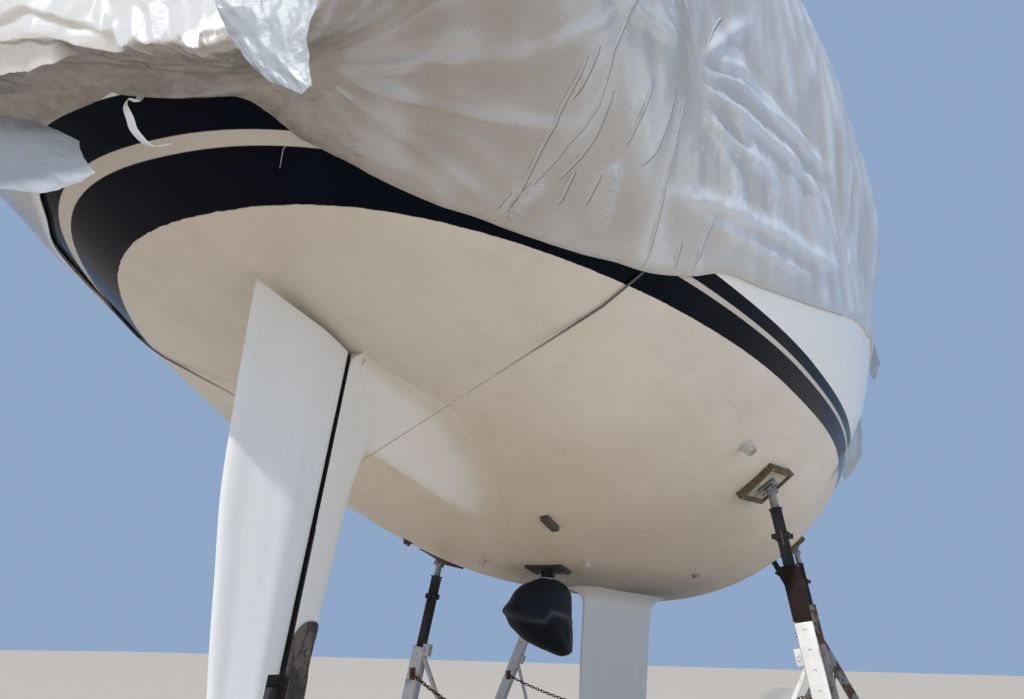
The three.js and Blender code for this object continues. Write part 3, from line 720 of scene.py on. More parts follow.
def make_rudder():
    nose, tail, half = fair(BLADE, 1), fair(BLADE, 2), fair(BLADE, 3)
    shape = fair([(0, 1), (0.25, 0.97), (0.5, 0.72), (0.75, 0.4), (0.97, 0.12), (1, 0.0)])
    slope = STOCK_DIR.x / STOCK_DIR.z

    def top_z(x):
        return -0.232 - (x - 2.27) * slope

    def ring(depth, v, cut):
        side = 2 * v - 1
        part = np.abs(side)
        middle = nose(depth) - NOSE_BACK
        turn = np.clip(part / 0.2, 0, 1) * math.pi / 2
        body = np.clip((part - 0.2) / 0.8, 0, 1)
        front = part < 0.2
        x = np.where(front, middle + half(depth) * np.cos(turn), middle + (tail(depth) - middle) * body)
        y = np.where(front, half(depth) * np.sin(turn), half(depth) * shape(body))
        flat = stock_at(depth) - 0.038
        x = np.where(cut, np.minimum(x, flat), x)
        return x, np.sign(side) * y

    def upper(u, v):
        low = -NOTCH_DEPTH
        z = -0.2 + (low + 0.2) * u
        for _ in range(3):
            x, y = ring(-z, v, False)
            z = top_z(x) + (low - top_z(x)) * u
        crown = np.clip(u / 0.006, 0, 1)
        return points(x, y * np.sqrt(1 - (1 - crown) ** 2), z)

    def lower(u, v):
        depth = NOTCH_DEPTH + (1.745 - NOTCH_DEPTH) * u
        x, y = ring(depth, v, True)
        round_off = np.sqrt(np.clip((1 - u) / 0.08, 0, 1))
        middle = (nose(depth) + tail(depth)) / 2
        return points(middle + (x - middle) * (0.94 + 0.06 * round_off), y * round_off, -depth)

    bm = bmesh.new()
    skin(bm, 110, 100, upper)
    skin(bm, 30, 100, lower)
    merged(bm)
    ledge = [e for e in bm.edges if e.is_boundary]
    if ledge:
        bmesh.ops.bridge_loops(bm, edges=ledge)
    piece("rudder_blade", bm, foil_paint("rudder_paint"), ["rudder"], RUDDER, sharp=45)
    bm = bmesh.new()
    for top, low, radius in ((0.11, 0.26, 0.03), (1.38, 1.478, 0.014)):
        rod(bm, (stock_at(top), 0, -top), (stock_at(low), 0, -low), radius, 28)
    metal = Finish("stock_steel", (0.32, 0.31, 0.3), 0.45, 0.8)
    worn = metal.noise(metal.place(), 30, 5)
    metal.colour(metal.mix(metal.ramp(worn, 0.4, 0.7), (0.36, 0.35, 0.33), (0.16, 0.12, 0.09)))
    piece("rudder_stock", bm, metal.made, body=RUDDER)


make_rudder()


# the skeg's after face is hollowed round the stock, so its lips close in on the rudder's nose
HOLLOW = 0.0868
LIP_Y = 0.0705
LIP_LONG = 0.0365
# Dark paint for the hollow behind the rudder's nose: dirt, and painted shade of the recess.
GAP_DIRT_AND_SHADE = Finish("gap_dirt_and_shade", (0.085, 0.078, 0.072), 0.8).made


def darken_hollow(bm):
    """Gives the hollow behind the rudder's nose its dark paint: dirt and painted shade."""
    for face in bm.faces:
        at = face.calc_center_median()
        inside = math.hypot(at.x - stock_at(-at.z), at.y) < HOLLOW + 0.001
        if inside and abs(at.y) < LIP_Y - 0.001 and at.z < -0.2:
            face.material_index = 1


def hollow_y(share):
    """Half width of the hollow, from its lip at a share of 0.1 to its middle at 1."""
    return HOLLOW * np.sin(np.arcsin(LIP_Y / HOLLOW) * (1 - np.clip((share - 0.1) / 0.9, 0, 1)))


def hollow_depth(y):
    """How far the hollow lies ahead of the after face."""
    return np.sqrt(HOLLOW**2 - y**2) - NOSE_BACK - SWING_GAP


def face_x(depth):
    """x of the after face of the skeg and its heel fitting."""
    return stock_at(depth) + NOSE_BACK + SWING_GAP


def skeg_root_line(x):
    """Lowest line of the skeg's long root, seen from the side."""
    return np.interp(-x, [-r[0] for r in SKEG[:7]], [r[1] for r in SKEG[:7]])


def faired_in(x, y, z):
    """The half width at a spot with the sweep into the hull bottom added."""
    tall = hull_z(x, 0 * x) - skeg_root_line(x)
    up = np.clip(0.95 * tall, 0.02, 0.3) * (0.35 + 0.65 * smooth(2.25, 2.75, x))
    wide = (0.035 + 0.235 * smooth(2.27, 2.85, x)) * (1 - 0.6 * smooth(3.3, 4.15, x))
    spread = y
    for _ in range(4):
        near = np.clip(1 - (hull_z(x, spread) - z) / up, 0, 1)
        spread = y + wide * (1 - np.sqrt(1 - near**2))
    return spread


def make_skeg():
    steps = way_along([r[:2] for r in SKEG])
    rows = [(s / steps[-1], *r) for s, r in zip(steps, SKEG)]
    edge_x, edge_z, width = fair(rows, 1), fair(rows, 2), fair(rows, 3)
    corner = rows[5][0]
    head = 0.28
    tail_top = 0.17

    def inner(s):
        """The far side from the profile: along the hull above the root, then down the after face."""
        past = np.clip((s - corner) / (1 - corner), 0, 1)
        x_head = edge_x(corner) + (face_x(tail_top) - edge_x(corner)) * past / head
        depth = tail_top + (1.29 - tail_top) * np.clip((past - head) / (1 - head), 0, 1)
        x = np.where(s < corner, edge_x(s), np.where(past < head, x_head, face_x(depth)))
        return x, np.where(past < head, hull_z(x, 0 * x), -depth), past >= head

    def place(u, v):
        side = 2 * v - 1
        part = np.clip(np.abs(side) / 0.9, 0, 1)
        across = np.clip((np.abs(side) - 0.9) / 0.1, 0, 1)
        x0, z0 = edge_x(u), edge_z(u)
        x1, z1, at_tail = inner(u)
        q = np.clip((1 - np.cos(part * math.pi)) / 2 * 0.5 + part * 0.5, 0, 1) ** 1.5
        lip = np.where(at_tail, LIP_LONG * smooth(0.18, 0.26, -z1), 0)
        x = x0 + (x1 - lip - x0) * q
        z = z0 + (z1 - z0) * q
        y = faired_in(x, width(u) * np.sqrt(np.clip(1 - (1 - q) ** 2.6, 0, 1)), z)
        inside = hollow_y(across)
        hollow = at_tail & (across > 0)
        y = np.where(hollow, np.where(across < 0.05, y, np.minimum(inside, y)), y)
        x = np.where(hollow & (across > 0.05), x1 + np.maximum(hollow_depth(inside), -lip), x)
        on_skin = (part > 0.999) & ~at_tail
        z = np.where(on_skin, hull_z(x, y) + 0.002, np.minimum(z, hull_z(x, y) + 0.002))
        return points(x, np.sign(side) * y, z)

    bm = bmesh.new()
    # The web highlight mask: the fairing below the hull, painted lighter as a painted highlight.
    web = bm.verts.layers.float.new("web")
    for vert in skin(bm, 200, 110, place):
        below = float(hull_z(vert.co.x, vert.co.y)) - vert.co.z
        vert[web] = 0.9 * float(smooth(0.004, 0.05, below) * smooth(3.9, 3.2, vert.co.x))
    merged(bm)
    darken_hollow(bm)
    piece("skeg_shell", bm, [skeg_coat(), GAP_DIRT_AND_SHADE], ["skeg"], sharp=50)


make_skeg()

# Winter cover

STERN_END = -0.024
BOW_END = 13.734
STAR = (2.03, 1.86)
GATHER = (1.07, 0.585)
OPEN_FROM = 0.978

# the hem on each side: x, way along the film from the keel line
HEM_STARBOARD = [
    (0.978, 0), (1.006, 0.076), (1.055, 0.243), (1.091, 0.351), (1.165, 0.4), (1.249, 0.433), (1.376, 0.519),
    (1.568, 0.645), (1.66, 0.714), (1.773, 0.809), (1.858, 0.869), (2.045, 1.01), (2.135, 1.077),
    (2.246, 1.168), (2.41, 1.285), (2.604, 1.455), (2.76, 1.61), (3.105, 1.828), (3.467, 2.048),
    (4.152, 2.426), (4.985, 2.825), (5.436, 2.955),
]
HEM_PORT = [
    (0.978, 0), (0.994, 0.09), (1.008, 0.193), (1.03, 0.285), (1.062, 0.369), (1.133, 0.445), (1.322, 0.648),
    (1.444, 0.756), (1.707, 1.01), (1.95, 1.11), (2.2, 1.19), *HEM_STARBOARD[14:],
]
HEM_LAST = HEM_STARBOARD[-1]

# columns of the film: up to this x, this far apart
FILM_COLUMNS = [(0.4, 0.04), (1.3, 0.009), (3.2, 0.0135), (5.2, 0.021), (7.0, 0.045), (BOW_END, 0.15)]
FILM_ROWS = {1: (116, 20), -1: (58, 18)}
FILM_HALF = sum(FILM_ROWS[1]) + 1

# pleats of the starboard film: places (x, way along the film), height, width
PLEATS = [
    ([(1.6, 1.64), (1.616, 1.541), (1.63, 1.443), (1.675, 1.378)], 0.005, 0.02),
    ([(1.675, 1.378), (1.706, 1.315), (1.726, 1.185), (1.751, 1.071), (1.773, 0.961),
      (1.82, 0.887)], 0.009, 0.028),
    ([(1.561, 1.346), (1.601, 1.227), (1.633, 1.163), (1.68, 1.081), (1.757, 0.968),
      (1.8, 0.9)], 0.006, 0.02),
    ([(1.575, 1.4), (1.6, 1.33), (1.622, 1.24)], 0.004, 0.014),
    ([(1.721, 1.393), (1.76, 1.31), (1.788, 1.256), (1.818, 1.102)], 0.005, 0.016),
    ([(1.842, 1.564), (1.87, 1.476), (1.906, 1.367)], 0.005, 0.018),
    ([(1.981, 1.683), (2.004, 1.595), (2.035, 1.483), (2.018, 1.402)], 0.005, 0.018),
    ([(2.044, 1.743), (2.074, 1.65), (2.139, 1.526), (2.168, 1.469), (2.247, 1.385),
      (2.363, 1.275)], 0.007, 0.022),
    ([(1.828, 1.164), (1.895, 1.066)], 0.004, 0.014),
    ([(1.912, 1.242), (1.965, 1.151)], 0.004, 0.014),
    ([(2.318, 2.365), (2.219, 2.214), (2.123, 1.992)], 0.005, 0.02),
    ([(2.506, 1.639), (2.58, 1.464)], 0.004, 0.016),
    ([(2.419, 1.462), (2.49, 1.388)], 0.004, 0.014),
    ([(4.323, 3.534), (4.424, 3.121)], 0.006, 0.024),
    ([(4.591, 3.097), (4.401, 2.861)], 0.006, 0.024),
    ([(1.74, 0.94), (1.752, 0.905), (1.772, 0.868)], 0.009, 0.02),
]

# soft folds of the starboard film: places, height, width at the start, width at the end
RIDGES = [
    ([(2.13, 1.965), (2.511, 2.327), (3.137, 2.693), (3.7, 3)], 0.016, 0.022, 0.06),
    ([(2.12, 1.9), (2.499, 2.24), (3.351, 2.8), (3.9, 3.1)], 0.018, 0.02, 0.06),
    ([(2.113, 1.837), (2.51, 2.113), (3.2, 2.559), (3.9, 2.9)], 0.018, 0.02, 0.065),
    ([(2.16, 1.78), (2.45, 1.93), (2.9, 2.2)], 0.012, 0.02, 0.05),
    ([(2.14, 2.01), (2.36, 2.33), (2.6, 2.66)], 0.012, 0.02, 0.05),
    ([(1.988, 1.93), (1.8, 1.93), (1.6, 1.96)], 0.014, 0.02, 0.05),
    ([(1.98, 1.88), (1.762, 1.8), (1.5, 1.74)], 0.014, 0.02, 0.05),
    ([(1.933, 1.802), (1.679, 1.64), (1.45, 1.52)], 0.012, 0.02, 0.05),
    ([(1.96, 1.98), (1.84, 2.12), (1.7, 2.3)], 0.012, 0.02, 0.05),
    ([(1.921, 1.3), (1.978, 1.242), (2.088, 1.163)], 0.03, 0.026, 0.034),
    ([(1.787, 1.035), (1.795, 0.955), (1.84, 0.871)], 0.022, 0.02, 0.026),
    ([(2.17, 1.45), (2.522, 1.721), (3.111, 2.096), (4.166, 2.7)], 0.014, 0.04, 0.08),
    ([(2.4, 1.56), (2.9, 1.86), (3.724, 2.33)], 0.009, 0.03, 0.05),
    ([(1.1, 0.6), (1.164, 0.709), (1.258, 0.874)], 0.012, 0.014, 0.026),
    ([(1.13, 0.62), (1.346, 0.83), (1.535, 1.033), (1.713, 1.236)], 0.014, 0.016, 0.034),
    ([(1.12, 0.59), (1.353, 0.7), (1.544, 0.79), (1.746, 0.87)], 0.012, 0.016, 0.034),
    ([(1.09, 0.62), (1.219, 0.86), (1.39, 1.133), (1.527, 1.438), (1.62, 1.64)], 0.01, 0.018, 0.034),
    ([(1.08, 0.64), (1.16, 0.85), (1.2, 0.969)], 0.01, 0.016, 0.026),
    ([(1.13, 0.57), (1.29, 0.59), (1.42, 0.64)], 0.01, 0.016, 0.028),
    ([(1.2, 0.52), (1.33, 0.56), (1.5, 0.68)], 0.008, 0.016, 0.024),
]
STANCHIONS = (3.6, 5.5, 7.4, 9.3, 11.2, 12.9)

# the slack roll of film under the counter: way from the keel line, x of its crest, depth below the fair film
BELLY = [
    (-1.2, 0.6, 0.1), (-0.6, 0.615, 0.11), (-0.137, 0.655, 0.118), (0.032, 0.69, 0.128),
    (0.123, 0.725, 0.126), (0.251, 0.782, 0.13), (0.381, 0.795, 0.168), (0.503, 0.813, 0.224),
    (0.615, 0.803, 0.271), (0.705, 0.808, 0.32), (0.82, 0.803, 0.35), (1.1, 0.84, 0.3),
]
# its sharp folds: way and place ahead of the crest, height, breadth ahead of the line, breadth aft of it
CREASES = [
    ([(-0.2, 0.016), (-0.04, 0.018), (0.02, 0.021), (0.1, 0.011), (0.15, 0.021), (0.226, 0.037),
      (0.262, 0.03)], 0.026, 0.012, 0.034),
    ([(-0.1, -0.022), (0.002, -0.027), (0.065, -0.043), (0.123, -0.039), (0.172, -0.026),
      (0.257, -0.022)], 0.026, 0.016, 0.06),
    ([(-0.3, 0.14), (-0.16, 0.126), (-0.07, 0.11), (0.011, 0.1), (0.078, 0.084)], 0.06, 0.018, 0.055),
    ([(0.24, 0.02), (0.266, 0.007), (0.32, -0.008), (0.347, 0.003), (0.387, -0.009),
      (0.414, 0.001)], 0.02, 0.01, 0.04),
    ([(0.41, 0.001), (0.45, -0.011), (0.504, 0.004), (0.518, -0.016), (0.562, -0.015),
      (0.64, -0.005)], 0.02, 0.01, 0.04),
    ([(0.64, -0.02), (0.679, -0.02), (0.71, -0.004), (0.728, -0.017), (0.778, -0.008),
      (0.854, 0.014)], 0.018, 0.012, 0.04),
    ([(0.42, 0.03), (0.52, 0.03), (0.62, 0.035)], 0.02, 0.04, 0.03),
    ([(0.15, 0.09), (0.26, 0.085), (0.38, 0.12), (0.48, 0.14)], 0.014, 0.04, 0.03),
]

# dents behind its crest: way of the crest they go by, place ahead of it, way; then depth and width
DENTS = [
    ([(0.55, -0.07, 0.525), (0.55, -0.05, 0.55), (0.55, -0.015, 0.58)], 0.016, 0.007),
    ([(0.6, -0.05, 0.585), (0.65, -0.02, 0.64), (0.7, 0.01, 0.695)], 0.018, 0.008),
]

# fields of fine crumples: x and way of the middle, slope, half length and width, two scales, seed
CRUMPLED = [
    (2.62, 1.98, 0.55, 0.55, 0.18, 11, 16, 23),
    (2.25, 1.2, 0.8, 0.35, 0.1, 14, 14, 29),
]


def ripple(x, y, seed):
    """Even, rolling noise from about -1 to 1 over a plane."""
    draw = np.random.default_rng(seed)
    order = draw.permutation(256)
    angle = draw.uniform(0, 2 * math.pi, 256)
    xi, yi = np.floor(x).astype(int), np.floor(y).astype(int)
    xf, yf = x - xi, y - yi

    def corner(dx, dy):
        pick = angle[order[(order[(xi + dx) & 255] + yi + dy) & 255]]
        return np.cos(pick) * (xf - dx) + np.sin(pick) * (yf - dy)

    ease_x = xf**3 * (xf * (xf * 6 - 15) + 10)
    ease_y = yf**3 * (yf * (yf * 6 - 15) + 10)
    low = corner(0, 0) + (corner(1, 0) - corner(0, 0)) * ease_x
    high = corner(0, 1) + (corner(1, 1) - corner(0, 1)) * ease_x
    return (low + (high - low) * ease_y) * 1.5


def crumpled(x, y, seed, layers=3):
    """Crumpled film: sharp ridges between flatter faces, about 0 on the whole."""
    total, size, share = 0, 1.0, 0.0
    for k in range(layers):
        total = total + (1 - np.abs(ripple(x * size + 7.3 * k, y * size - 3.1 * k, seed + k))) / size
        share += 1 / size
        size *= 2.1
    return total / share - 0.62


def creased(x, y, seed):
    """Crumpled film in flat facets with sharp creases between them, about 0 on the whole."""
    turns = np.random.default_rng(seed).uniform(0, 1, (5, 3))
    total = 0
    for k, (turn, size, start) in enumerate(turns):
        size = 0.7 + size
        run = (x * math.cos(turn * math.pi) + y * math.sin(turn * math.pi)) * size + 9 * start
        run = run + 0.3 * ripple(x * 1.3, y * 1.3, seed + k)
        total = total + (np.abs(run % 1.0 - 0.5) * 4 - 1) / size
    return total / 5


def from_fold(x, way, places):
    """Distance to a fold's line, and how far along it each spot is, from 0 to 1."""
    spots = np.array(places, float)
    lengths = np.hypot(*np.diff(spots, axis=0).T)
    starts = way_along(spots)
    best = np.full(x.shape, 9.0)
    part = np.zeros(x.shape)
    for (ax, ay), (bx, by), length, start in zip(spots, spots[1:], lengths, starts):
        dx, dy = (bx - ax) / length, (by - ay) / length
        run = np.clip((x - ax) * dx + (way - ay) * dy, 0, length)
        off = np.hypot(x - ax - run * dx, way - ay - run * dy)
        nearer = off < best
        best = np.where(nearer, off, best)
        part = np.where(nearer, (start + run) / starts[-1], part)
    return best, part


def folded(x, way, places, height, wide, wide_end):
    """Lift of the film by one soft fold."""
    lift = np.zeros(x.shape)
    spots = np.array(places)
    reach = 3 * max(wide, wide_end)
    low, high = spots.min(0) - reach, spots.max(0) + reach
    near = (x > low[0]) & (x < high[0]) & (way > low[1]) & (way < high[1])
    off, part = from_fold(x[near], way[near], places)
    ends = hump(0, 0.12, 0.7, 1, part)
    lift[near] = height * bell(off, wide + (wide_end - wide) * part) * (0.2 + 0.8 * ends)
    return lift


def fan_from(heart, x, way, count, sway, pace, seed, shift=0.0):
    """Narrow ridges between broad troughs that fan out from one spot, with the angle and the distance."""
    angle = np.arctan2(way - heart[1] + shift, x - heart[0])
    far = np.hypot(x - heart[0], way - heart[1])
    turn = angle * count + sway * ripple(far * pace, angle * 2, seed)
    return 1.5 * np.exp(-2.2 * (1 - np.cos(turn))) - 0.4, angle, far


def film_lift(x, way):
    """How far the film stands out from its fair shape; way is negative on the port side."""
    starboard = np.where(way > 0, way, 99.0)
    lift = 0.01 * ripple(x * 0.8 + way * 0.5, way * 1.4 - x * 0.3, 3)
    lift *= 0.2 + 0.8 * smooth(0.5, 1.4, np.abs(way))
    slant, across = x * 0.85 - way * 0.5, x * 0.5 + way * 0.85
    lift += 0.006 * ripple(slant * 1.3, across * 5.0, 5)
    lift += 0.012 * creased(slant * 1.5, across * 4.0, 11)
    lift += 0.004 * crumpled(slant * 3.0, across * 9.0, 11, 2)
    lift += 0.0022 * crumpled(x * 13, way * 13, 17, 2)
    fan, _, far = fan_from(GATHER, x, starboard, 22, 2.4, 3, 37, 0.02)
    lift += 0.0085 * fan * hump(0.03, 0.12, 0.35, 0.95, far)
    fan, angle, far = fan_from(STAR, x, starboard, 14, 1.5, 2, 39)
    level = np.maximum(hump(-0.25, 0.1, 1.1, 1.5, angle), 0.8 * smooth(2.3, 2.7, np.abs(angle)))
    lift += 0.0085 * fan * level * hump(0.1, 0.22, 0.4, 1.2, far)
    for at_x, at_way, slope, long, wide, fine_x, fine_way, seed in CRUMPLED:
        band = bell(x - at_x, long) * bell(way - at_way - slope * (x - at_x), wide)
        lift += 0.011 * band * crumpled(x * fine_x, way * fine_way, seed, 3)
    for places, height, wide, wide_end in RIDGES:
        lift += folded(x, starboard, places, 1.25 * height, 0.75 * wide, 0.6 * wide_end)
    for places, height, wide in PLEATS:
        lift += folded(x, starboard, places, 0.7 * height, 1.3 * wide, 1.3 * wide)
    for (at_x, at_way), wide in ((STAR, 0.15), (GATHER, 0.07)):
        lift -= 0.012 * bell(np.hypot(x - at_x, starboard - at_way), wide)
    return np.where(lift < 0, DEEPEST * np.tanh(lift / DEEPEST), lift)


def stanchion_folds(x, side, eave):
    """Folds that fan out from the heads of the guard rail stanchions, on both sides."""
    lift = np.zeros(x.shape)
    for k, post in enumerate(STANCHIONS):
        dx, dy = x - post, side - (eave - 0.02)
        far = np.hypot(dx, dy) + 1e-6
        angle = np.arctan2(dy, dx)
        fan = np.cos(angle * 9 + 2.1 * ripple(far * 2.2 + k, angle * 1.2, 41 + k))
        lift += 0.01 * fan * hump(0.02, 0.16, 0.25, 1, far) + 0.012 * bell(far, 0.07)
    return lift


def belly_crest(way):
    """x of the slack roll's crest, and its depth."""
    ways, crests, depths = np.transpose(BELLY)
    uneven = 0.012 * ripple(way * 5.5, 0 * way, 51) + 0.007 * ripple(way * 17, 0 * way + 4, 52)
    return np.interp(way, ways, crests) + uneven, np.interp(way, ways, depths)


def belly_drop(x, way):
    """How far the slack film hangs down under the counter."""
    crest, depth = belly_crest(way)
    near = np.clip((x - crest + 0.17) / 0.17, 0, 1)
    aft = np.maximum(0.8 * near**1.5 + 0.2 * smooth(0, 1, near), 0.22 * smooth(0.0, 0.5, x))
    ahead = 1 - smooth(crest, 0.985 + 0.12 * smooth(0.15, 0.5, way), x)
    return np.where(x < crest, aft, ahead) * depth * smooth(1.5, 0.9, np.abs(way))


def belly_folds(x, way):
    """Sharp folds and hanging points of the roll, and its fine crumples."""
    ahead = x - belly_crest(way)[0]
    lift = 0.004 * crumpled(x * 15 + way * 3, way * 4.5 - x * 2, 63, 3)
    lift += 0.022 * creased(x * 10 + way * 2, way * 6, 63) * smooth(0.04, -0.03, ahead)
    points_down = (1 - np.abs(ripple(way * 15 + x * 2, x * 4, 67))) ** 3
    points_down += 0.5 * (1 - np.abs(ripple(way * 34, x * 6, 68))) ** 3
    lift += 0.01 * points_down * hump(-0.06, -0.01, 0.006, 0.03, ahead) * smooth(0.15, 0.28, way)
    for places, height, low, high in CREASES:
        ways, line = np.transpose(places)
        uneven = 0.003 * ripple(way * 13, 0 * way + height * 300, 69)
        off = ahead - np.interp(way, ways, line) - uneven
        ends = hump(ways[0] - 0.01, ways[0] + 0.03, ways[-1] - 0.02, ways[-1] + 0.01, way)
        lift += height * ends * np.clip(1 - np.where(off > 0, off / low, -off / high), 0, 1)
    for dent, depth, wide in DENTS:
        places = [(belly_crest(np.array(near))[0] + past, at) for near, past, at in dent]
        lift += folded(x, way, places, -depth, wide, wide)
    return lift


def film_sections(xs):
    """Each column's way along, its line from the keel to the ridge, and the ways of its eave and ridge."""
    rise, spread, ridge = fair(COVER, 1), fair(COVER, 2), fair(COVER, 3)
    found = []
    girth = np.linspace(0, 1, 70)
    for x in np.clip(xs, 0, LENGTH):
        low = hull_skin(np.full_like(girth, x), girth)[:, 1:]
        run = np.gradient(low, axis=0)
        run /= np.linalg.norm(run, axis=1)[:, None] + 1e-12
        low = low + FILM_OFF * np.stack([run[:, 1], -run[:, 0]], 1)
        low[0, 0] = 0
        wide, sheer = low[-1]
        side, eave, top = wide + spread(x), sheer + rise(x), ridge(x)
        fall = top - eave
        roof = [
            (side, sheer + rise(x) * 0.5),
            (side, eave - 0.04),
            (side - min(0.025, side * 0.3), eave + 0.015),
            (side * 0.72, eave + fall * 0.22),
            (side * 0.44, eave + fall * 0.48),
            (side * 0.18, eave + fall * 0.8),
            (side * 0.05, top - 0.012),
            (0, top),
        ]
        line = np.vstack([low, roof])
        way = way_along(line)
        even = np.linspace(0, way[-1], 420)
        found.append((even, eased(sampled(line, way, even), 14), way[len(low) + 1], way[-1]))
    return found


def film_grid():
    """The film's fair shape: its spots, their ways from the keel line, and the eave of their column."""
    columns = [STERN_END]
    for limit, apart in FILM_COLUMNS:
        count = max(round((limit - columns[-1]) / apart), 1)
        columns += list(np.linspace(columns[-1], limit, count + 1)[1:])
    xs = np.array(columns)
    sections = film_sections(xs)
    hem_z = fair(COVER, 4)
    sides = []
    for hand, table in ((1, HEM_STARBOARD), (-1, HEM_PORT)):
        low = np.linspace(0, 1, FILM_ROWS[hand][0] + 1)
        low = 0.7 * low + 0.3 * low**2
        high = np.linspace(0, 1, FILM_ROWS[hand][1] + 1)[1:]
        hem = fair(table)
        spots, ways, eaves = [], [], []
        for x, (even, line, eave, ridge) in zip(xs, sections):
            start = 0.0 if x < OPEN_FROM else float(hem(x))
            if x > HEM_LAST[0]:
                level = float(hem_z(x)) + 0.075 * smooth(6.6, 5.4, x)
                start = float(np.interp(level, line[:260, 1], even[:260]))
            way = np.concatenate([start + (eave - start) * low, eave + (ridge - eave) * high])
            across, up = sampled(line, even, way).T
            spots.append(points(x, -hand * across, up))
            ways.append(hand * way)
            eaves.append(np.full(way.shape, eave))
        sides.append((np.array(spots), np.array(ways), np.array(eaves)))
    return [np.concatenate([a, b[:, -2::-1]], axis=1) for a, b in zip(*sides)]


def hung(spots, way, more):
    """Fair spots moved by the film's folds and its slack under the counter, with the lift and the way out."""
    out = np.cross(np.gradient(spots, axis=1), np.gradient(spots, axis=0))
    out /= np.linalg.norm(out, axis=2)[..., None] + 1e-12
    out *= np.sign(((spots - np.array([0, 0, 1.2])) * out * np.array([0, 1, 1])).sum())
    x = spots[..., 0]
    drop = belly_drop(x, way)
    slack = 0.007 * smooth(0.02, 0.1, drop) * crumpled(x * 6 + way * 2, way * 5 - x * 3, 61, 2)
    lift = more(film_lift(x, way) + slack)
    moved = spots + out * lift[..., None]
    moved[..., 2] -= drop
    moved[..., 0] -= 0.22 * drop
    return moved, lift, out


def film_shape():
    spots, way, eave = film_grid()
    x = spots[..., 0]
    near_hem = np.where(way > 0, way - way[:, :1], np.abs(way) - np.abs(way[:, -1:]))
    rim = 0.25 + 0.75 * smooth(0, 0.05, np.minimum(x - STERN_END, BOW_END - x))

    def more(lift):
        posts = stanchion_folds(x, np.abs(way), eave) * (1 - smooth(13.2, 13.7, x))
        lift = (lift + posts * np.where(way > 0, 0.3 + 0.7 * smooth(5.5, 8.0, x), 1)) * rim
        return np.where(x > OPEN_FROM, lift * (0.3 + 0.7 * smooth(0.0, 0.06, near_hem)), lift)

    moved, lift, out = hung(spots, way, more)
    moved[..., 1] = np.where(np.abs(way) < 1e-9, 0, moved[..., 1])
    return moved, way, ridge_share(lift), out, spots[:, 0, 0]


def evened(level, turns):
    """A grid of heights, each evened out with its neighbours."""
    for _ in range(turns):
        level = np.pad(level, 1, mode="edge")
        level = (level[:-2, 1:-1] + level[2:, 1:-1] + level[1:-1, :-2] + level[1:-1, 2:]) / 4
    return level


def ridge_share(lift):
    """0 in the troughs of the film, 1 on its ridges."""
    near = evened(lift, 5)
    return np.clip(0.5 + (near - evened(near, 85)) / 0.008, 0, 1)


def film_spot(x, way):
    """A place on the starboard film and the way out of it."""
    xs, moved, ways, out = FILM
    column = np.interp(x, xs, np.arange(len(xs)))
    share = column - int(column)
    found = []
    for source in (moved, out):
        near = (int(column), int(column) + 1)
        a, b = (sampled(source[k, :FILM_HALF], ways[k, :FILM_HALF], way) for k in near)
        found.append(Vector(a * (1 - share) + b * share))
    return found[0], found[1].normalized()


def film_finish(name, clean=None, tint=(0.88, 0.89, 0.9)):
    """White shrink film: tan in its troughs and paler on its ridges as painted shade and painted sky
    reflection, grimy along its hem, glossy.
    """
    f = Finish(name, (0.55, 0.54, 0.52), 0.3, Specular_IOR_Level=0.9)
    cloud = f.noise(f.place(), 0.9, 5, 0.6)
    fine = f.noise(f.place((1.0, 1.0, 1.3)), 9, 5, 0.6)
    # Painted light: darker warm tan aft, where the film lies in shade under the counter, paler blue-grey
    # forward, where it faces the sky.
    ahead = f.ramp(f.axis("X"), -5.6, -4.2)
    film = f.mix(ahead, (0.385, 0.358, 0.332), (0.535, 0.545, 0.56))
    film = f.shade(cloud, 0.4, 0.68, film, (0.5, 0.48, 0.46), 0.45)
    film = f.shade(fine, 0.5, 0.75, film, (0.42, 0.385, 0.345), 0.2)
    if clean is None:
        # Painted light: ridges of the folds painted paler and bluer as a painted sky reflection, troughs
        # darker tan as painted shade.
        ridge = f.attribute("ridge")
        film = f.shade(ridge, 0.5, 1.0, film, f.mix(ahead, (0.52, 0.53, 0.56), (0.68, 0.72, 0.78)), 0.6)
        film = f.shade(ridge, 0.48, 0.0, film, f.mix(ahead, (0.36, 0.315, 0.275), (0.46, 0.43, 0.4)), 0.6)
    patches = f.ramp(f.noise(f.place((3, 3, 8)), 6, 6, 0.65), 0.3, 0.6, 0.45, 1)
    smears = f.noise(f.place((1.0, 3.0, 6.0), (0.2, 0.5, 0.1)), 9, 4, 0.7)
    darkening = f.shade(smears, 0.62, 0.7, (0.165, 0.145, 0.125), (0.045, 0.038, 0.032))
    # The soil and shade mask lays the dark colour on: grime along the hem, and grime with painted shade on
    # the roll's underside.
    film = f.mix(f.sum("MULTIPLY", f.attribute("soil"), patches), film, darkening)
    # Painted light: the painted light share turns the film to the given tone, white as a painted highlight
    # unless another tone is given.
    f.colour(f.mix(f.attribute("clean") if clean is None else clean, film, tint))
    f.rough(f.ramp(fine, 0.3, 0.7, 0.2, 0.34))
    f.bump(f.noise(f.place((1.0, 1.6, 2.6), (0.2, 0.1, 0.3)), 16, 4, 0.6, 0.6), 0.28, 0.006)
    f.bump(f.noise(f.place(), 60, 3, 0.6), 0.08, 0.001)
    return f.made


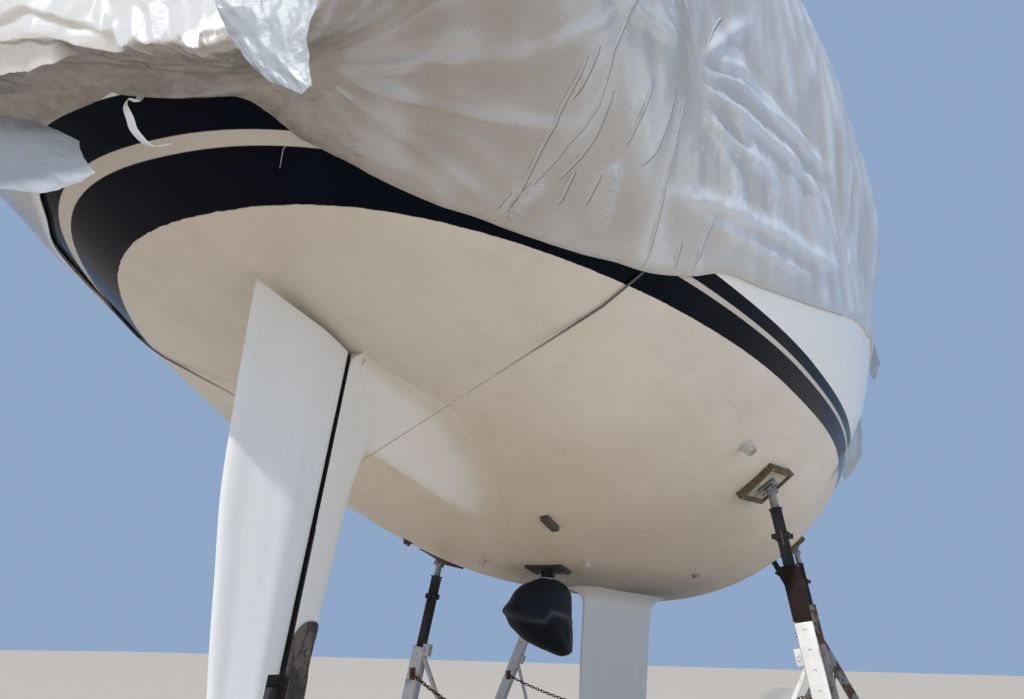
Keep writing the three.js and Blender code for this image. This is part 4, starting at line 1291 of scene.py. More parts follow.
def closed_end(bm, at_x, heart, push):
    """The open end of the film drawn together in rings round one spot."""
    ring = [e for e in bm.edges if e.is_boundary and all(abs(v.co.x - at_x) < 0.012 for v in e.verts)]
    before = 1
    for share in (0.985, 0.93, 0.85, 0.75, 0.63, 0.5, 0.37, 0.24, 0.12):
        made = bmesh.ops.extrude_edge_only(bm, edges=ring)["geom"]
        ring = [e for e in made if isinstance(e, bmesh.types.BMEdge)]
        corners = list(dict.fromkeys(v for e in ring for v in e.verts))
        for v in corners:
            v.co = heart + (v.co - heart) * (share / before)
            wave = float(crumpled(np.array(v.co.y * 3.0), np.array(v.co.z * 3.0), 71, 3))
            v.co.x = at_x + push * (0.5 + 0.03 / abs(push) * wave) * min(1, 6 * (1 - share))
        before = share
    bmesh.ops.pointmerge(bm, verts=corners, merge_co=heart + Vector((push, 0, 0)))


def under_painted_highlight(x, way):
    """Where the film under the counter is painted white, a painted highlight for the light on the roll: aft
    of the roll's crest.
    """
    ahead = x - belly_crest(way)[0]
    edge = 0.004 + 0.03 * smooth(0.27, 0.24, way)
    tongue = smooth(0.095, 0.06, way) * smooth(0.04, 0.052, ahead)
    tongue *= smooth(0.118, 0.106, ahead + 0.11 * way)
    return np.maximum(smooth(edge + 0.012, edge - 0.006, ahead), tongue) * smooth(1.7, 1.2, np.abs(way))


def under_grime_and_shade(x, way):
    """Where the film under the counter is darkened with grime and painted shade: from the roll's crest to the
    hem.
    """
    ahead = x - belly_crest(way)[0]
    return 0.85 * smooth(0.015, 0.075, ahead) * smooth(1.15, 0.99, x) * smooth(0.85, 0.5, np.abs(way))


def film_mesh(moved, **shares):
    """A mesh of film over a grid of spots, each with its share of grime and painted shade, its share of
    painted light, and how raised it is.
    """
    columns, rows = moved.shape[0] - 1, moved.shape[1] - 1
    picked = []

    def place(u, v):
        picked.extend([step(u, columns), step(v, rows)])
        return moved[picked[0], picked[1]]

    bm = bmesh.new()
    layers = [bm.verts.layers.float.new(name) for name in shares]
    made = skin(bm, columns, rows, place)
    for layer, values in zip(layers, shares.values()):
        for vert, value in zip(made, values[picked[0], picked[1]]):
            vert[layer] = value
    return bm


def make_cover():
    moved, way, ridge, out, xs = film_shape()
    x, side = xs[:, None] + 0 * way, np.abs(way)
    edge = np.where(x < OPEN_FROM, 9.0, np.where(way > 0, way - way[:, :1], side - np.abs(way[:, -1:])))
    starboard = smooth(-0.4, 0, way)
    grime_and_shade = smooth(0.07, 0.0, edge) * smooth(1.5, 1.15, x) + 0.4 * smooth(0.03, 0, edge) * smooth(3.0, 2.0, x)
    grime_and_shade = grime_and_shade + 0.2 * smooth(0.3, 0.0, edge) * smooth(1.8, 1.2, x)
    # Grime along the hem; under the counter, grime with painted shade.
    grime_and_shade = np.clip(np.maximum(grime_and_shade * starboard, under_grime_and_shade(x, way)), 0, 1)
    # Painted highlight: a pale band along the port hem's edge.
    port_hem_highlight = 0.7 * (1 - starboard) * smooth(0.05, 0.01, edge) * smooth(1.0, 1.1, x)
    bm = film_mesh(moved, soil=grime_and_shade, clean=np.maximum(under_painted_highlight(x, way), port_hem_highlight), ridge=ridge)
    merged(bm, 0.0001)
    closed_end(bm, STERN_END, Vector((STERN_END, 0, 1.15)), -0.02)
    closed_end(bm, BOW_END, Vector((BOW_END, 0, 1.9)), 0.02)
    hem = [e for e in bm.edges if e.is_boundary]
    turned = bmesh.ops.extrude_edge_only(bm, edges=hem)["geom"]
    for v in [g for g in turned if isinstance(g, bmesh.types.BMVert)]:
        spot, _ = hull_spot(min(max(v.co.x, 0.02), LENGTH - 0.02), v.co.y, 0.004)
        if abs(v.co.y) > float(sheer_y(min(v.co.x, LENGTH))) - 0.03:
            v.co.y -= math.copysign(0.02, v.co.y)
        else:
            v.co = spot
    cover = piece("winter_cover_film", bm, film_finish("shrink_film"), ["winter_cover"], sharp=80, weld=0)
    return cover, (xs, moved, way, out)


def make_belly():
    """The part of the slack roll that shows, a second film with fine folds that lies close on the first."""
    xs = np.linspace(0.5, 0.965, 150)
    ways = np.linspace(-0.55, 1.15, 380)
    spots = []
    for x, (even, line, _, _) in zip(xs, film_sections(xs)):
        across, up = sampled(line, even, np.abs(ways)).T
        spots.append(points(x, -np.sign(ways) * across, up))
    x, way = xs[:, None] + 0 * ways, 0 * xs[:, None] + ways
    from_ends = np.minimum(x - xs[0], xs[-1] - x)
    from_sides = np.minimum(way - ways[0], ways[-1] - way)
    inner = smooth(0, 0.035, np.minimum(from_ends, from_sides))
    folds = inner * (0.007 + belly_folds(x, way)) - 0.004
    moved, lift, _ = hung(np.array(spots), way, lambda fair_lift: fair_lift + folds)
    bm = film_mesh(moved, soil=under_grime_and_shade(x, way), clean=under_painted_highlight(x, way), ridge=ridge_share(lift))
    piece("film_roll_stern", bm, COVER_FILM.data.materials[0], sharp=70, weld=0)


COVER_FILM, FILM = make_cover()
# Painted highlight: a copy of the film turned mostly white, for the hanging curl.
LOOSE_FILM = film_finish("loose_film", 0.75)
# Painted shade: a copy of the film turned dark blue-grey, for the flaps and torn pieces.
SHADED_FILM = film_finish("film_painted_shade", 0.9, (0.3, 0.34, 0.39))
PLEAT_DARK_LINE = Finish("pleat_dark_line", (0.085, 0.078, 0.072), 0.6).made
PLEAT_WIDE = 0.008
PLEAT_LIP = [(-1.3, -0.1), (-0.7, 0.25), (-0.2, 0.8), (0.05, 1), (0.22, 0.75), (0.14, 0.3), (0.05, -0.1)]


def make_pleats():
    """Folded pleats that lie on the film, each with a lip over a thin dark line of dirt and painted shade."""
    bm = bmesh.new()
    for places, height, _ in PLEATS:
        way = way_along(places)
        count = max(int(way[-1] / 0.009), 8)
        even = np.linspace(0, way[-1], count + 1)
        route = eased(sampled(places, way, even), 4)
        wave = 0.004 * ripple(even * 14, even * 0 + way[-1] * 9, 55)
        at, out = (np.array(rows) for rows in zip(*(film_spot(x, g + w) for (x, g), w in zip(route, wave))))
        run = np.gradient(at, axis=0)
        run /= np.linalg.norm(run, axis=1)[:, None]
        side = np.cross(run, out)
        side *= np.sign(side[:, 0].sum() or 1)
        tall = 0.45 * height
        # The dark line under each lip: dirt and painted shade in the fold.
        darkening = [(0.0, 0.001 / tall), (0.66, 0.0012 / tall), (0.7, -0.1)]
        for index, section in enumerate((PLEAT_LIP, darkening)):
            shape = np.array(section)
            before = len(bm.faces)

            def place(u, v):
                k, j = step(u, count), step(v, len(shape) - 1)
                thin = 0.25 + 0.75 * hump(0, 0.12, 0.88, 1, u)
                rise = shape[j, 1] * tall * np.where(index, 1, thin)
                aside = shape[j, 0] * PLEAT_WIDE * thin
                return at[k] + side[k] * aside[:, None] + out[k] * rise[:, None]

            skin(bm, count, len(shape) - 1, place)
            painted(bm, before, index)
    # The pleats' film takes a little of the painted white highlight.
    finish = [film_finish("pleated_film", 0.12), PLEAT_DARK_LINE]
    piece("film_pleats", bm, finish, sharp=60, keep_facing=True)


# loose edges of film: rows across each sheet, from the edge that holds to the free edge, as x, y and z
FLAPS = {
    "film_flap_stern": (
        ((0.66, 0.665, 0.675, 0.68, 0.68), (-0.6, -0.67, -0.74, -0.815, -0.89),
         (0.085, 0.075, 0.068, 0.06, 0.045)),
        ((0.69, 0.7, 0.71, 0.715, 0.72), (-0.622, -0.676, -0.736, -0.802, -0.865),
         (0, -0.006, -0.01, -0.02, -0.04)),
        (0.735, (-0.638, -0.686, -0.741, -0.796, -0.842), (-0.045, -0.063, -0.082, -0.097, -0.104)),
        (0.75, (-0.666, -0.705, -0.752, -0.802, -0.839), (-0.095, -0.126, -0.148, -0.165, -0.159)),
        (0.755, (-0.683, -0.725, -0.772, -0.813, -0.839), (-0.122, -0.163, -0.19, -0.215, -0.2)),
    ),
    "film_flap_port": (
        (0.945, (0.446, 0.338, 0.236, 0.137, 0.043), (0.147, 0.106, 0.071, 0.02, -0.035)),
        (0.935, (0.401, 0.289, 0.182, 0.078, -0.023), (0.042, 0.006, -0.029, -0.069, -0.108)),
        (0.93, (0.366, 0.25, 0.138, 0.032, -0.078), (-0.05, -0.082, -0.116, -0.143, -0.173)),
        (0.925, (0.332, 0.22, 0.11, 0.048, -0.023), (-0.14, -0.166, -0.198, -0.194, -0.189)),
    ),
}
TORN = {
    "film_torn_high": (
        ((6.45, 6.5, 6.55, 6.6), (-2.15, -2.17, -2.19, -2.205), (1.12, 1.15, 1.17, 1.2)),
        ((6.45, 6.5, 6.55, 6.6), (-2.165, -2.2, -2.24, -2.262), (0.98, 1, 1.03, 1.07)),
        ((6.45, 6.5, 6.55, 6.6), (-2.178, -2.21, -2.25, -2.28), (0.86, 0.87, 0.89, 0.93)),
        ((6.45, 6.5, 6.55, 6.6), (-2.185, -2.2, -2.23, -2.245), (0.79, 0.77, 0.8, 0.86)),
    ),
    "film_torn_low": (
        ((5.95, 6, 6.05, 6.1), (-1.985, -2.01, -2.035, -2.06), (0.4, 0.42, 0.43, 0.44)),
        ((5.95, 6, 6.05, 6.1), (-1.95, -1.985, -2.03, -2.062), (0.25, 0.24, 0.23, 0.22)),
        ((5.95, 6, 6.05, 6.1), (-1.925, -1.96, -2, -2.04), (0.06, 0.05, 0.06, 0.08)),
        ((5.95, 6, 6.05, 6.1), (-1.89, -1.905, -1.935, -1.975), (-0.1, -0.112, -0.07, -0.02)),
    ),
}
# the hanging strip: its places and its turn
CURL = [
    (0.97, -0.113, 0.105, 0.9), (0.945, -0.152, 0.062, 1.2), (0.925, -0.167, 0.026, 0.3),
    (0.915, -0.14, 0.04, -0.9), (0.925, -0.124, 0.023, -0.2), (0.93, -0.145, -0.013, 0.5),
    (0.93, -0.164, -0.054, 0.7), (0.93, -0.211, -0.103, 1.1), (0.93, -0.247, -0.125, 1.7),
    (0.93, -0.301, -0.125, 2),
]


def make_flap(name, rows):
    table = np.array([np.stack(np.broadcast_arrays(*row), -1) for row in rows])
    u_at, v_at = np.linspace(0, 1, table.shape[0]), np.linspace(0, 1, table.shape[1])

    def place(u, v):
        across = [[[np.interp(b, v_at, row[:, a]) for row in table] for b in v] for a in range(3)]
        spot = np.array([[np.interp(t, u_at, row) for t, row in zip(u, across[a])] for a in range(3)]).T
        crumples = 0.014 * crumpled(u * 2.2 + 3, v * 2.4, 65, 3) * smooth(0, 0.2, u)
        swell = 0.016 * np.sin(math.pi * u) + crumples
        spot[:, 0] -= swell
        spot[:, 1] += 0.4 * swell
        return spot

    bm = bmesh.new()
    skin(bm, 44, 52, place)
    bmesh.ops.solidify(bm, geom=bm.faces, thickness=0.0006)
    piece(name, bm, SHADED_FILM, sharp=70)


def make_curl():
    """A narrow strip of film that hangs from the hem and curls on itself."""
    line = eased(sampled(CURL, np.linspace(0, 1, len(CURL)), np.linspace(0, 1, 61)), 6)

    def place(u, v):
        x, y, z, turn = line[step(u, 60)].T
        side = (2 * v - 1) * 0.01 * smooth(-0.3, 0.1, u) * smooth(1.02, 0.85, u)
        x = x + side * np.sin(turn) * 0.8 - 0.0035 * (2 * v - 1) ** 2
        return points(x, y - side * np.cos(turn), z + side * np.sin(turn) * 0.5)

    bm = bmesh.new()
    skin(bm, 60, 6, place)
    bmesh.ops.solidify(bm, geom=bm.faces, thickness=0.0008)
    rod(bm, (1.249, -0.427, 0.088), (1.22, -0.416, 0.013), 0.0009, 6)
    rod(bm, (1.22, -0.416, 0.013), (1.22, -0.413, -0.047), 0.0009, 6, 0.0006)
    piece("film_curl", bm, LOOSE_FILM, sharp=70)


# Finishes of the metal, timber, cloth and rope


def steel_finish(name, paint, rust, share, shine=0.5, metal=0.1, gloss=0.5):
    """Painted or bare steel with rust breaking through along runs and edges."""
    f = Finish(name, paint, shine, metal, Specular_IOR_Level=gloss)
    patches = f.noise(f.place((1, 1, 0.7)), 9, 7, 0.65)
    fine = f.noise(f.place(), 70, 5, 0.7)
    breaking = f.sum("ADD", patches, f.sum("MULTIPLY", fine, 0.25))
    worn = f.ramp(breaking, 0.74 - share, 0.8 - share)
    darkening = f.shade(patches, 0.3, 0.75, paint, tuple(c * 0.72 for c in paint))
    f.colour(f.mix(worn, darkening, f.shade(fine, 0.35, 0.65, rust, tuple(c * 0.45 for c in rust))))
    f.rough(f.ramp(worn, 0, 1, shine, 0.85))
    f.bump(f.sum("MULTIPLY", fine, worn), 0.5, 0.002)
    f.bump(patches, 0.15, 0.003)
    return f.made


def timber_finish(name, light, dark, turn=(0, 0, 0)):
    """Sawn timber: long grain, knots and weather stains."""
    f = Finish(name, light, 0.8)
    grain = f.noise(f.place((1.2, 26, 26), turn), 2.4, 8, 0.62, 0.6)
    bands = {"Vector": f.place((0.6, 9, 9), turn), "Scale": 2.2, "Distortion": 6.0, "Detail": 4.0}
    rings = f.add("ShaderNodeTexWave", bands).outputs["Fac"]
    stain = f.noise(f.place(), 3.5, 5, 0.6)
    wood = f.shade(grain, 0.35, 0.7, light, dark)
    wood = f.shade(rings, 0.55, 0.95, wood, tuple(c * 0.6 for c in dark), 0.35)
    f.colour(f.shade(stain, 0.5, 0.75, wood, (0.16, 0.14, 0.12), 0.5))
    f.bump(grain, 0.4, 0.003)
    return f.made


def bag_finish():
    """Heavy dark cloth, close woven, with a painted sheen along its creases and painted shade below its fold.
    """
    f = Finish("bag_cloth", (0.02, 0.024, 0.031), 0.62, 0.0, Sheen_Weight=0.05, Specular_IOR_Level=0.12)
    cloud = f.noise(f.place(), 4.5, 5, 0.6)
    threads = []
    for way, scale, bands in (((1, 1, 0), 210.0, "DIAGONAL"), ((0, 0, 1), 340.0, "Z")):
        made = f.add("ShaderNodeTexWave", {"Vector": f.place(way), "Scale": scale}, bands_direction=bands)
        threads.append(made.outputs["Fac"])
    weave = f.sum("MULTIPLY", *threads)
    cloth = f.shade(cloud, 0.38, 0.68, (0.007, 0.01, 0.017), (0.013, 0.017, 0.026))
    # Painted shade: below the fold, 1.1 m under the waterline, the cloth goes near black.
    cloth = f.shade(f.axis("Z"), WATERLINE - 1.1, WATERLINE - 1.17, cloth, (0.001, 0.002, 0.004), 0.85)
    # Painted highlight: a pale sheen along the fold lines.
    cloth = f.mix(f.attribute("fold_sheen"), cloth, (0.115, 0.12, 0.132))
    f.colour(cloth)
    f.rough(f.ramp(cloud, 0.3, 0.7, 0.52, 0.72))
    f.bump(weave, 0.18, 0.0008)
    f.bump(f.noise(f.place((1, 1, 1.6)), 11, 4), 0.25, 0.006)
    return f.made


GALVANISED = steel_finish("galvanised_steel", (0.3, 0.31, 0.31), (0.2, 0.11, 0.06), 0.02, 0.42, 0.7)
DARK_TUBE = steel_finish("dark_tube", (0.026, 0.026, 0.029), (0.046, 0.036, 0.036), 0.16, 0.5, 0.3)
BROWN_SLEEVE = steel_finish("brown_sleeve", (0.013, 0.009, 0.01), (0.024, 0.013, 0.012), 0.22, 0.6, 0.1, 0.2)
WHITE_LEG = steel_finish("white_leg", (0.63, 0.635, 0.63), (0.25, 0.13, 0.07), 0.0, 0.38, 0.0)
GREY_LEG = steel_finish("grey_leg", (0.34, 0.33, 0.33), (0.2, 0.12, 0.08), 0.12, 0.6, 0.1)
RUSTY = steel_finish("rusty_chain", (0.1, 0.065, 0.045), (0.17, 0.085, 0.045), 0.3, 0.8, 0.4)
BRONZE = steel_finish("bare_bronze", (0.15, 0.118, 0.102), (0.072, 0.06, 0.056), 0.16, 0.55, 0.35)
FITTING = steel_finish("fitting_paint", (0.6, 0.57, 0.51), (0.2, 0.17, 0.14), 0.04, 0.5, 0.0)
DARK_FITTING = steel_finish("dark_fitting", (0.115, 0.105, 0.09), (0.05, 0.045, 0.04), 0.08, 0.6, 0.2)
ZINC = steel_finish("worn_zinc", (0.26, 0.235, 0.205), (0.12, 0.1, 0.085), 0.2, 0.75, 0.2)
LEG_PLATE = steel_finish("black_plate", (0.03, 0.032, 0.036), (0.07, 0.055, 0.045), 0.05, 0.5, 0.2)
ALLOY = steel_finish("mast_alloy", (0.78, 0.79, 0.8), (0.55, 0.55, 0.54), 0.0, 0.35, 0.6)
WIRE = steel_finish("stay_wire", (0.42, 0.43, 0.44), (0.3, 0.28, 0.25), 0.02, 0.3, 0.9)
PLY = timber_finish("pad_board", (0.52, 0.47, 0.4), (0.42, 0.37, 0.3))
FRAME_WOOD = timber_finish("pad_frame", (0.15, 0.112, 0.066), (0.082, 0.058, 0.034))
BLOCK_WOOD = timber_finish("block_timber", (0.36, 0.26, 0.17), (0.2, 0.135, 0.085), (0, 0, math.pi / 2))


def stood(spot, out, lean=(1, 0, 0)):
    """The turn and shift that stand local z on the way out of a spot."""
    return between(Vector(spot) - Vector(out), Vector(spot) + Vector(out), lean)


def moved_by(bm, verts, turn):
    bmesh.ops.transform(bm, matrix=turn, verts=list(verts))
    return verts


def cut_from(bm, tool):
    """The mesh with the tool's space cut out of it."""
    both = []
    for made in (bm, tool):
        mesh = bpy.data.meshes.new("cutting")
        made.to_mesh(mesh)
        made.free()
        both.append(linked("cutting", mesh))
    kept, cutter = both
    applied(kept, "BOOLEAN", object=cutter, operation="DIFFERENCE", solver="EXACT")
    result = bmesh.new()
    result.from_mesh(kept.data)
    for obj in both:
        bpy.data.objects.remove(obj, do_unlink=True)
    return result


def bolt_head(bm, spot, out, across=0.011, high=0.007):
    """A six sided bolt head on its washer."""
    spot, out = Vector(spot), Vector(out).normalized()
    lean = (1, 0, 0) if abs(out.x) < 0.9 else (0, 0, 1)
    rod(bm, spot - out * 0.001, spot + out * 0.002, across * 1.35, 16, lean=lean)
    rod(bm, spot + out * 0.002, spot + out * high, across, 6, across * 0.9, lean=lean)


# Heel fitting under the skeg, which carries the rudder's pin


def make_heel():
    nose = fair([(1.224, 2.2575), *[r[:2] for r in HEEL]])
    half = fair([(1.224, 0.0725), (1.289, 0.0725), *[(r[0], r[2]) for r in HEEL]])
    section = fair([(0, 0), (0.015, 0.22), (0.07, 0.45), (0.2, 0.7), (0.45, 0.9), (0.75, 0.99), (1, 1)])

    def place(u, v):
        part = np.abs(2 * v - 1)
        along = np.clip(part / 0.8, 0, 1) ** 2
        back = np.clip((part - 0.8) / 0.2, 0, 1)
        top = 1.236 + 0.05 * np.abs(2 * along - 1) ** 2.6
        top = np.where(along < 1, top, 1.286)
        depth = top + (1.62 - top) * u
        lip = LIP_LONG * smooth(1.43, 1.39, depth)
        tail = face_x(depth) - lip
        under = np.sqrt(np.clip((1 - u) / 0.1, 0, 1))
        x = nose(depth) + (tail - nose(depth)) * along
        y = half(depth) * section(along) * under
        inside = np.minimum(y, hollow_y(back))
        x = np.where(back > 0.05, tail + lip + np.maximum(hollow_depth(inside), -lip), x)
        return points(x, np.sign(2 * v - 1) * np.where(back > 0.05, inside, y), -depth)

    bm = bmesh.new()
    skin(bm, 44, 130, place)
    merged(bm)
    darken_hollow(bm)
    rod(bm, (stock_at(1.436), 0, -1.436), (stock_at(1.6), 0, -1.6), 0.028, 28)
    bar(bm, (2.115, 0, -1.52), (stock_at(1.52), 0, -1.52), 0.154, 0.056, 0.006, lean=(0, 0, 1))
    for depth in (1.34, 1.44, 1.53):
        for side in (-1, 1):
            spot = (stock_at(depth) + 0.155, side * float(half(depth)) * 0.97, -depth)
            bolt_head(bm, spot, (0, side, 0), 0.009)
    piece("skeg_heel_casting", bm, [BRONZE, GAP_DIRT_AND_SHADE], ["skeg_heel_fitting"], sharp=40)


# Drive leg, its plate and the bag tied over the propeller

DRIVE_X = 4.98
BAG = [
    (0.815, 4.982, 0.054, 0.036, 0.004),
    (0.85, 4.983, 0.056, 0.037, 0.005),
    (0.864, 4.986, 0.066, 0.046, 0.008),
    (0.88, 4.988, 0.105, 0.086, 0.016),
    (0.905, 4.995, 0.166, 0.14, 0.028),
    (0.93, 5.0, 0.196, 0.166, 0.037),
    (0.96, 5.002, 0.212, 0.184, 0.045),
    (1.01, 5.004, 0.228, 0.202, 0.058),
    (1.067, 5.0, 0.25, 0.222, 0.075),
    (1.11, 5.0, 0.245, 0.21, 0.064),
    (1.155, 5.0, 0.235, 0.2, 0.051),
    (1.2, 5.0, 0.22, 0.178, 0.029),
    (1.247, 5.005, 0.195, 0.149, 0.004),
    (1.29, 5.01, 0.15, 0.104, -0.038),
    (1.32, 5.015, 0.095, 0.064, -0.074),
    (1.338, 5.015, 0.04, 0.024, -0.085),
    (1.342, 5.015, 0.004, 0.003, -0.086),
]


def make_drive():
    bm = bmesh.new()
    spot, out = hull_spot(DRIVE_X, 0)
    plate = box(bm, (0.24, 0.26, 0.06), edge=0)
    corners = [e for e in edges_of(plate) if abs(e.verts[0].co.z - e.verts[1].co.z) > 0.03]
    rounded(bm, corners, 0.022, 6)
    rounded(bm, [e for e in bm.edges if all(v.co.z > 0.02 for v in e.verts)], 0.003)
    moved_by(bm, bm.verts, stood(spot, out) @ Matrix.Translation((0, 0, 0.014 - 0.03)))
    lean = Vector((1, 0, 0)) - out * out.x
    for along in (-0.095, 0, 0.095):
        for side in (-0.105, 0.105):
            bolt_head(bm, spot + out * 0.014 + lean * along + Vector((0, side, 0)), out, 0.009, 0.006)
    piece("drive_mounting_plate", bm, LEG_PLATE, ["drive_hull_plate"])

    def place(u, v):
        side = 2 * v - 1
        part = np.abs(side)
        x = 5.042 + (4.922 - 5.042) * part**2
        return points(x, np.sign(side) * 0.033 * foil_shape(part), -0.77 - 0.09 * u)

    bm = bmesh.new()
    skin(bm, 6, 48, place)
    bmesh.ops.holes_fill(bm, edges=[e for e in bm.edges if e.is_boundary], sides=0)
    piece("drive_leg_casing", bm, LEG_PLATE, ["drive_leg"])


# the bag's pale fold around its after side: angle, depth below the waterline
BAG_FOLD = [
    (2.15, 1.083), (2.68, 1.096), (3.01, 1.127), (3.34, 1.137), (3.64, 1.141),
    (3.8, 1.105), (3.9, 1.083), (4.13, 1.09), (4.43, 1.104), (4.89, 1.132),
]


def bag_crease(angle, depth):
    """The bag's folds and the pale painted sheen along them: a bent ridge across its after side, and one down
    from it.
    """
    line = np.interp(angle, *zip(*BAG_FOLD))
    level = 0.8 * bell(depth - line, 0.017) * hump(1.6, 2.3, 4.8, 5.5, angle)
    down = np.interp(depth, [1.1, 1.18, 1.3], [4.56, 4.73, 5.02])
    upright = bell(angle - down, 0.08) * hump(1.09, 1.12, 1.24, 1.34, depth)
    return np.maximum(level, 0.8 * upright)


def make_bag():
    middle, long, wide, across = (fair(BAG, k) for k in (1, 2, 3, 4))
    shares, depths = np.linspace(0, 1, len(BAG)), [r[0] for r in BAG]
    picked = []

    def place(u, v):
        angle = 2 * math.pi * v
        depth = np.interp(u, shares, depths)
        picked.extend([v, angle, depth])
        pinch = 1 + 0.1 * np.cos(angle * 11 + 1.3 * np.sin(3 * angle)) * smooth(0.895, 0.868, depth)
        pinch += 0.03 * np.cos(angle * 9 + 2) * smooth(0.97, 0.9, depth)
        corner = 1 + 0.03 * np.cos(2 * angle + 0.9) * hump(0.95, 1.07, 1.15, 1.32, depth)
        fold = 0.007 * bag_crease(angle, depth) - 0.004 * bag_crease(angle, depth - 0.03)
        cos, sin = np.cos(angle), np.sin(angle)
        hang = 0.008 * ripple(cos * 2.1 + 5, sin * 2.1 + depth * 5, 81)
        wrinkle = 0.005 * crumpled(cos * 2.6 + 9, sin * 2.6 + depth * 9, 83, 3)
        dimple = 0.01 * bell(angle - 3.6, 0.07) * bell(depth - 1.094, 0.012)
        swell = (fold + hang + wrinkle - dimple) * hump(0.9, 0.97, 1.3, 1.342, depth)
        reach_x = (long(depth) + swell) * pinch * corner
        reach_y = (wide(depth) + swell) * pinch * corner
        tie = 1 - 0.05 * bell(depth - 0.862, 0.006)
        return points(middle(depth) + reach_x * cos * tie, across(depth) + reach_y * sin * tie, -depth)

    bm = bmesh.new()
    fold_sheen = bm.verts.layers.float.new("fold_sheen")
    made = skin(bm, 150, 190, place)
    v, angle, depth = picked
    # The fold sheen share: a painted highlight along the folds, half as strong where the angle is under 3.4.
    pale = bag_crease(angle, depth) * (0.6 + 0.4 * ripple(v * 22, depth * 20, 85))
    pale *= 0.5 + 0.5 * smooth(3.4, 4.1, angle)
    for vert, value in zip(made, np.clip(pale, 0, 1)):
        vert[fold_sheen] = value
    closed(bm, 0.0003)
    piece("propeller_cover_bag", bm, bag_finish(), ["propeller_bag"], sharp=70, weld=0)

    def cord(u, v):
        angle = 2 * math.pi * u
        ring = 2 * math.pi * v
        out = 0.0035 * np.cos(ring)
        z = -0.862 + 0.0035 * np.sin(ring) + 0.003 * np.sin(angle)
        return points(4.985 + (0.068 + out) * np.cos(angle), 0.007 + (0.047 + out) * np.sin(angle), z)

    bm = bmesh.new()
    skin(bm, 60, 10, cord)
    for side in (-1, 1):
        rod(bm, (4.93, -0.03, -0.862), (4.905, -0.052 + side * 0.01, -0.925), 0.003, 8)
    piece("bag_tie", bm, ROPE_FINISH)


# Small fittings through the bottom: name, x, y, radius, stand-off, squeeze, bored

FITTINGS = [
    ("through_hull_quarter", 4.04, -1.392, 0.034, 0.06, 1.0, True),
    ("through_hull_port_aft", 4.815, 0.404, 0.024, 0.042, 1.0, True),
    ("through_hull_starboard_aft", 4.831, -0.307, 0.024, 0.042, 1.0, True),
    ("through_hull_starboard_mid", 5.949, -0.812, 0.026, 0.03, 1.0, True),
    ("transducer_port", 4.897, 1.0, 0.04, 0.024, 1.9, False),
]


def make_fitting(name, x, y, radius, stand, squeeze, bored):
    long = radius * (1.25 if squeeze > 1 else 1)
    oval = (long, radius / squeeze, 1)
    bm = bmesh.new()
    shank = drum(bm, 1.0, 0.93, stand + 0.03, 40)
    bmesh.ops.translate(bm, verts=shank, vec=(0, 0, (stand - 0.03) / 2))
    end = max(bm.faces, key=lambda face: face.calc_center_median().z)
    bmesh.ops.scale(bm, verts=bm.verts, vec=oval)
    rounded(bm, end.edges, 0.003, 3)
    end = max(bm.faces, key=lambda face: face.calc_center_median().z + face.calc_area())
    bmesh.ops.inset_region(bm, faces=[end], thickness=radius * (0.28 if bored else 0.35))
    bmesh.ops.translate(bm, verts=end.verts, vec=(0, 0, -0.6 * stand if bored else 0.004))
    rim = drum(bm, 1.42, 1.2, 0.007, 40)
    bmesh.ops.scale(bm, verts=rim, vec=oval)
    bmesh.ops.translate(bm, verts=rim, vec=(0, 0, 0.0025))
    for side in () if bored else (-1, 1):
        bolt_head(bm, (side * long * 0.55, 0, stand + 0.003), (0, 0, 1), 0.007, 0.004)
    moved_by(bm, bm.verts, stood(*hull_spot(x, y)))
    piece(f"{name}_body", bm, FITTING if bored else DARK_FITTING, [name])


def make_anode():
    bm = bmesh.new()
    box(bm, (0.198, 0.048, 0.052), edge=0.007, segments=4)
    bmesh.ops.translate(bm, verts=bm.verts, vec=(0, 0, 0.001))
    for end in (-1, 1):
        bolt_head(bm, (end * 0.062, 0, 0.0268), (0, 0, 1), 0.008, 0.005)
    moved_by(bm, bm.verts, stood(*hull_spot(3.97, -0.335)))
    piece("hull_anode_bar", bm, ZINC, ["hull_anode"])


# Props: name, place on the hull, foot, length of the upper tube, side of the brace, finish, pad's turn

PROPS = [
    ("starboard_aft", (4.69, -1.43), (4.72, -1.79), 0.76, 1, WHITE_LEG, 15),
    ("starboard_mid", (8.0, -1.41), (8.05, -1.78), 0.68, 1, GREY_LEG, 0),
    ("starboard_fore", (10.1, -1.01), (10.2, -2.2), 0.8, 1, GREY_LEG, 0),
    ("port_aft", (5.95, 1.21), (5.98, 1.61), 0.86, -1, WHITE_LEG, 0),
    ("port_mid", (8.75, 1.15), (8.8, 2.05), 0.56, -1, WHITE_LEG, 0),
    ("port_fore", (10.5, 0.64), (10.55, 1.31), 0.6, -1, WHITE_LEG, 0),
]
LEG_SIDE = 0.098
HOLE_PITCH = 0.105


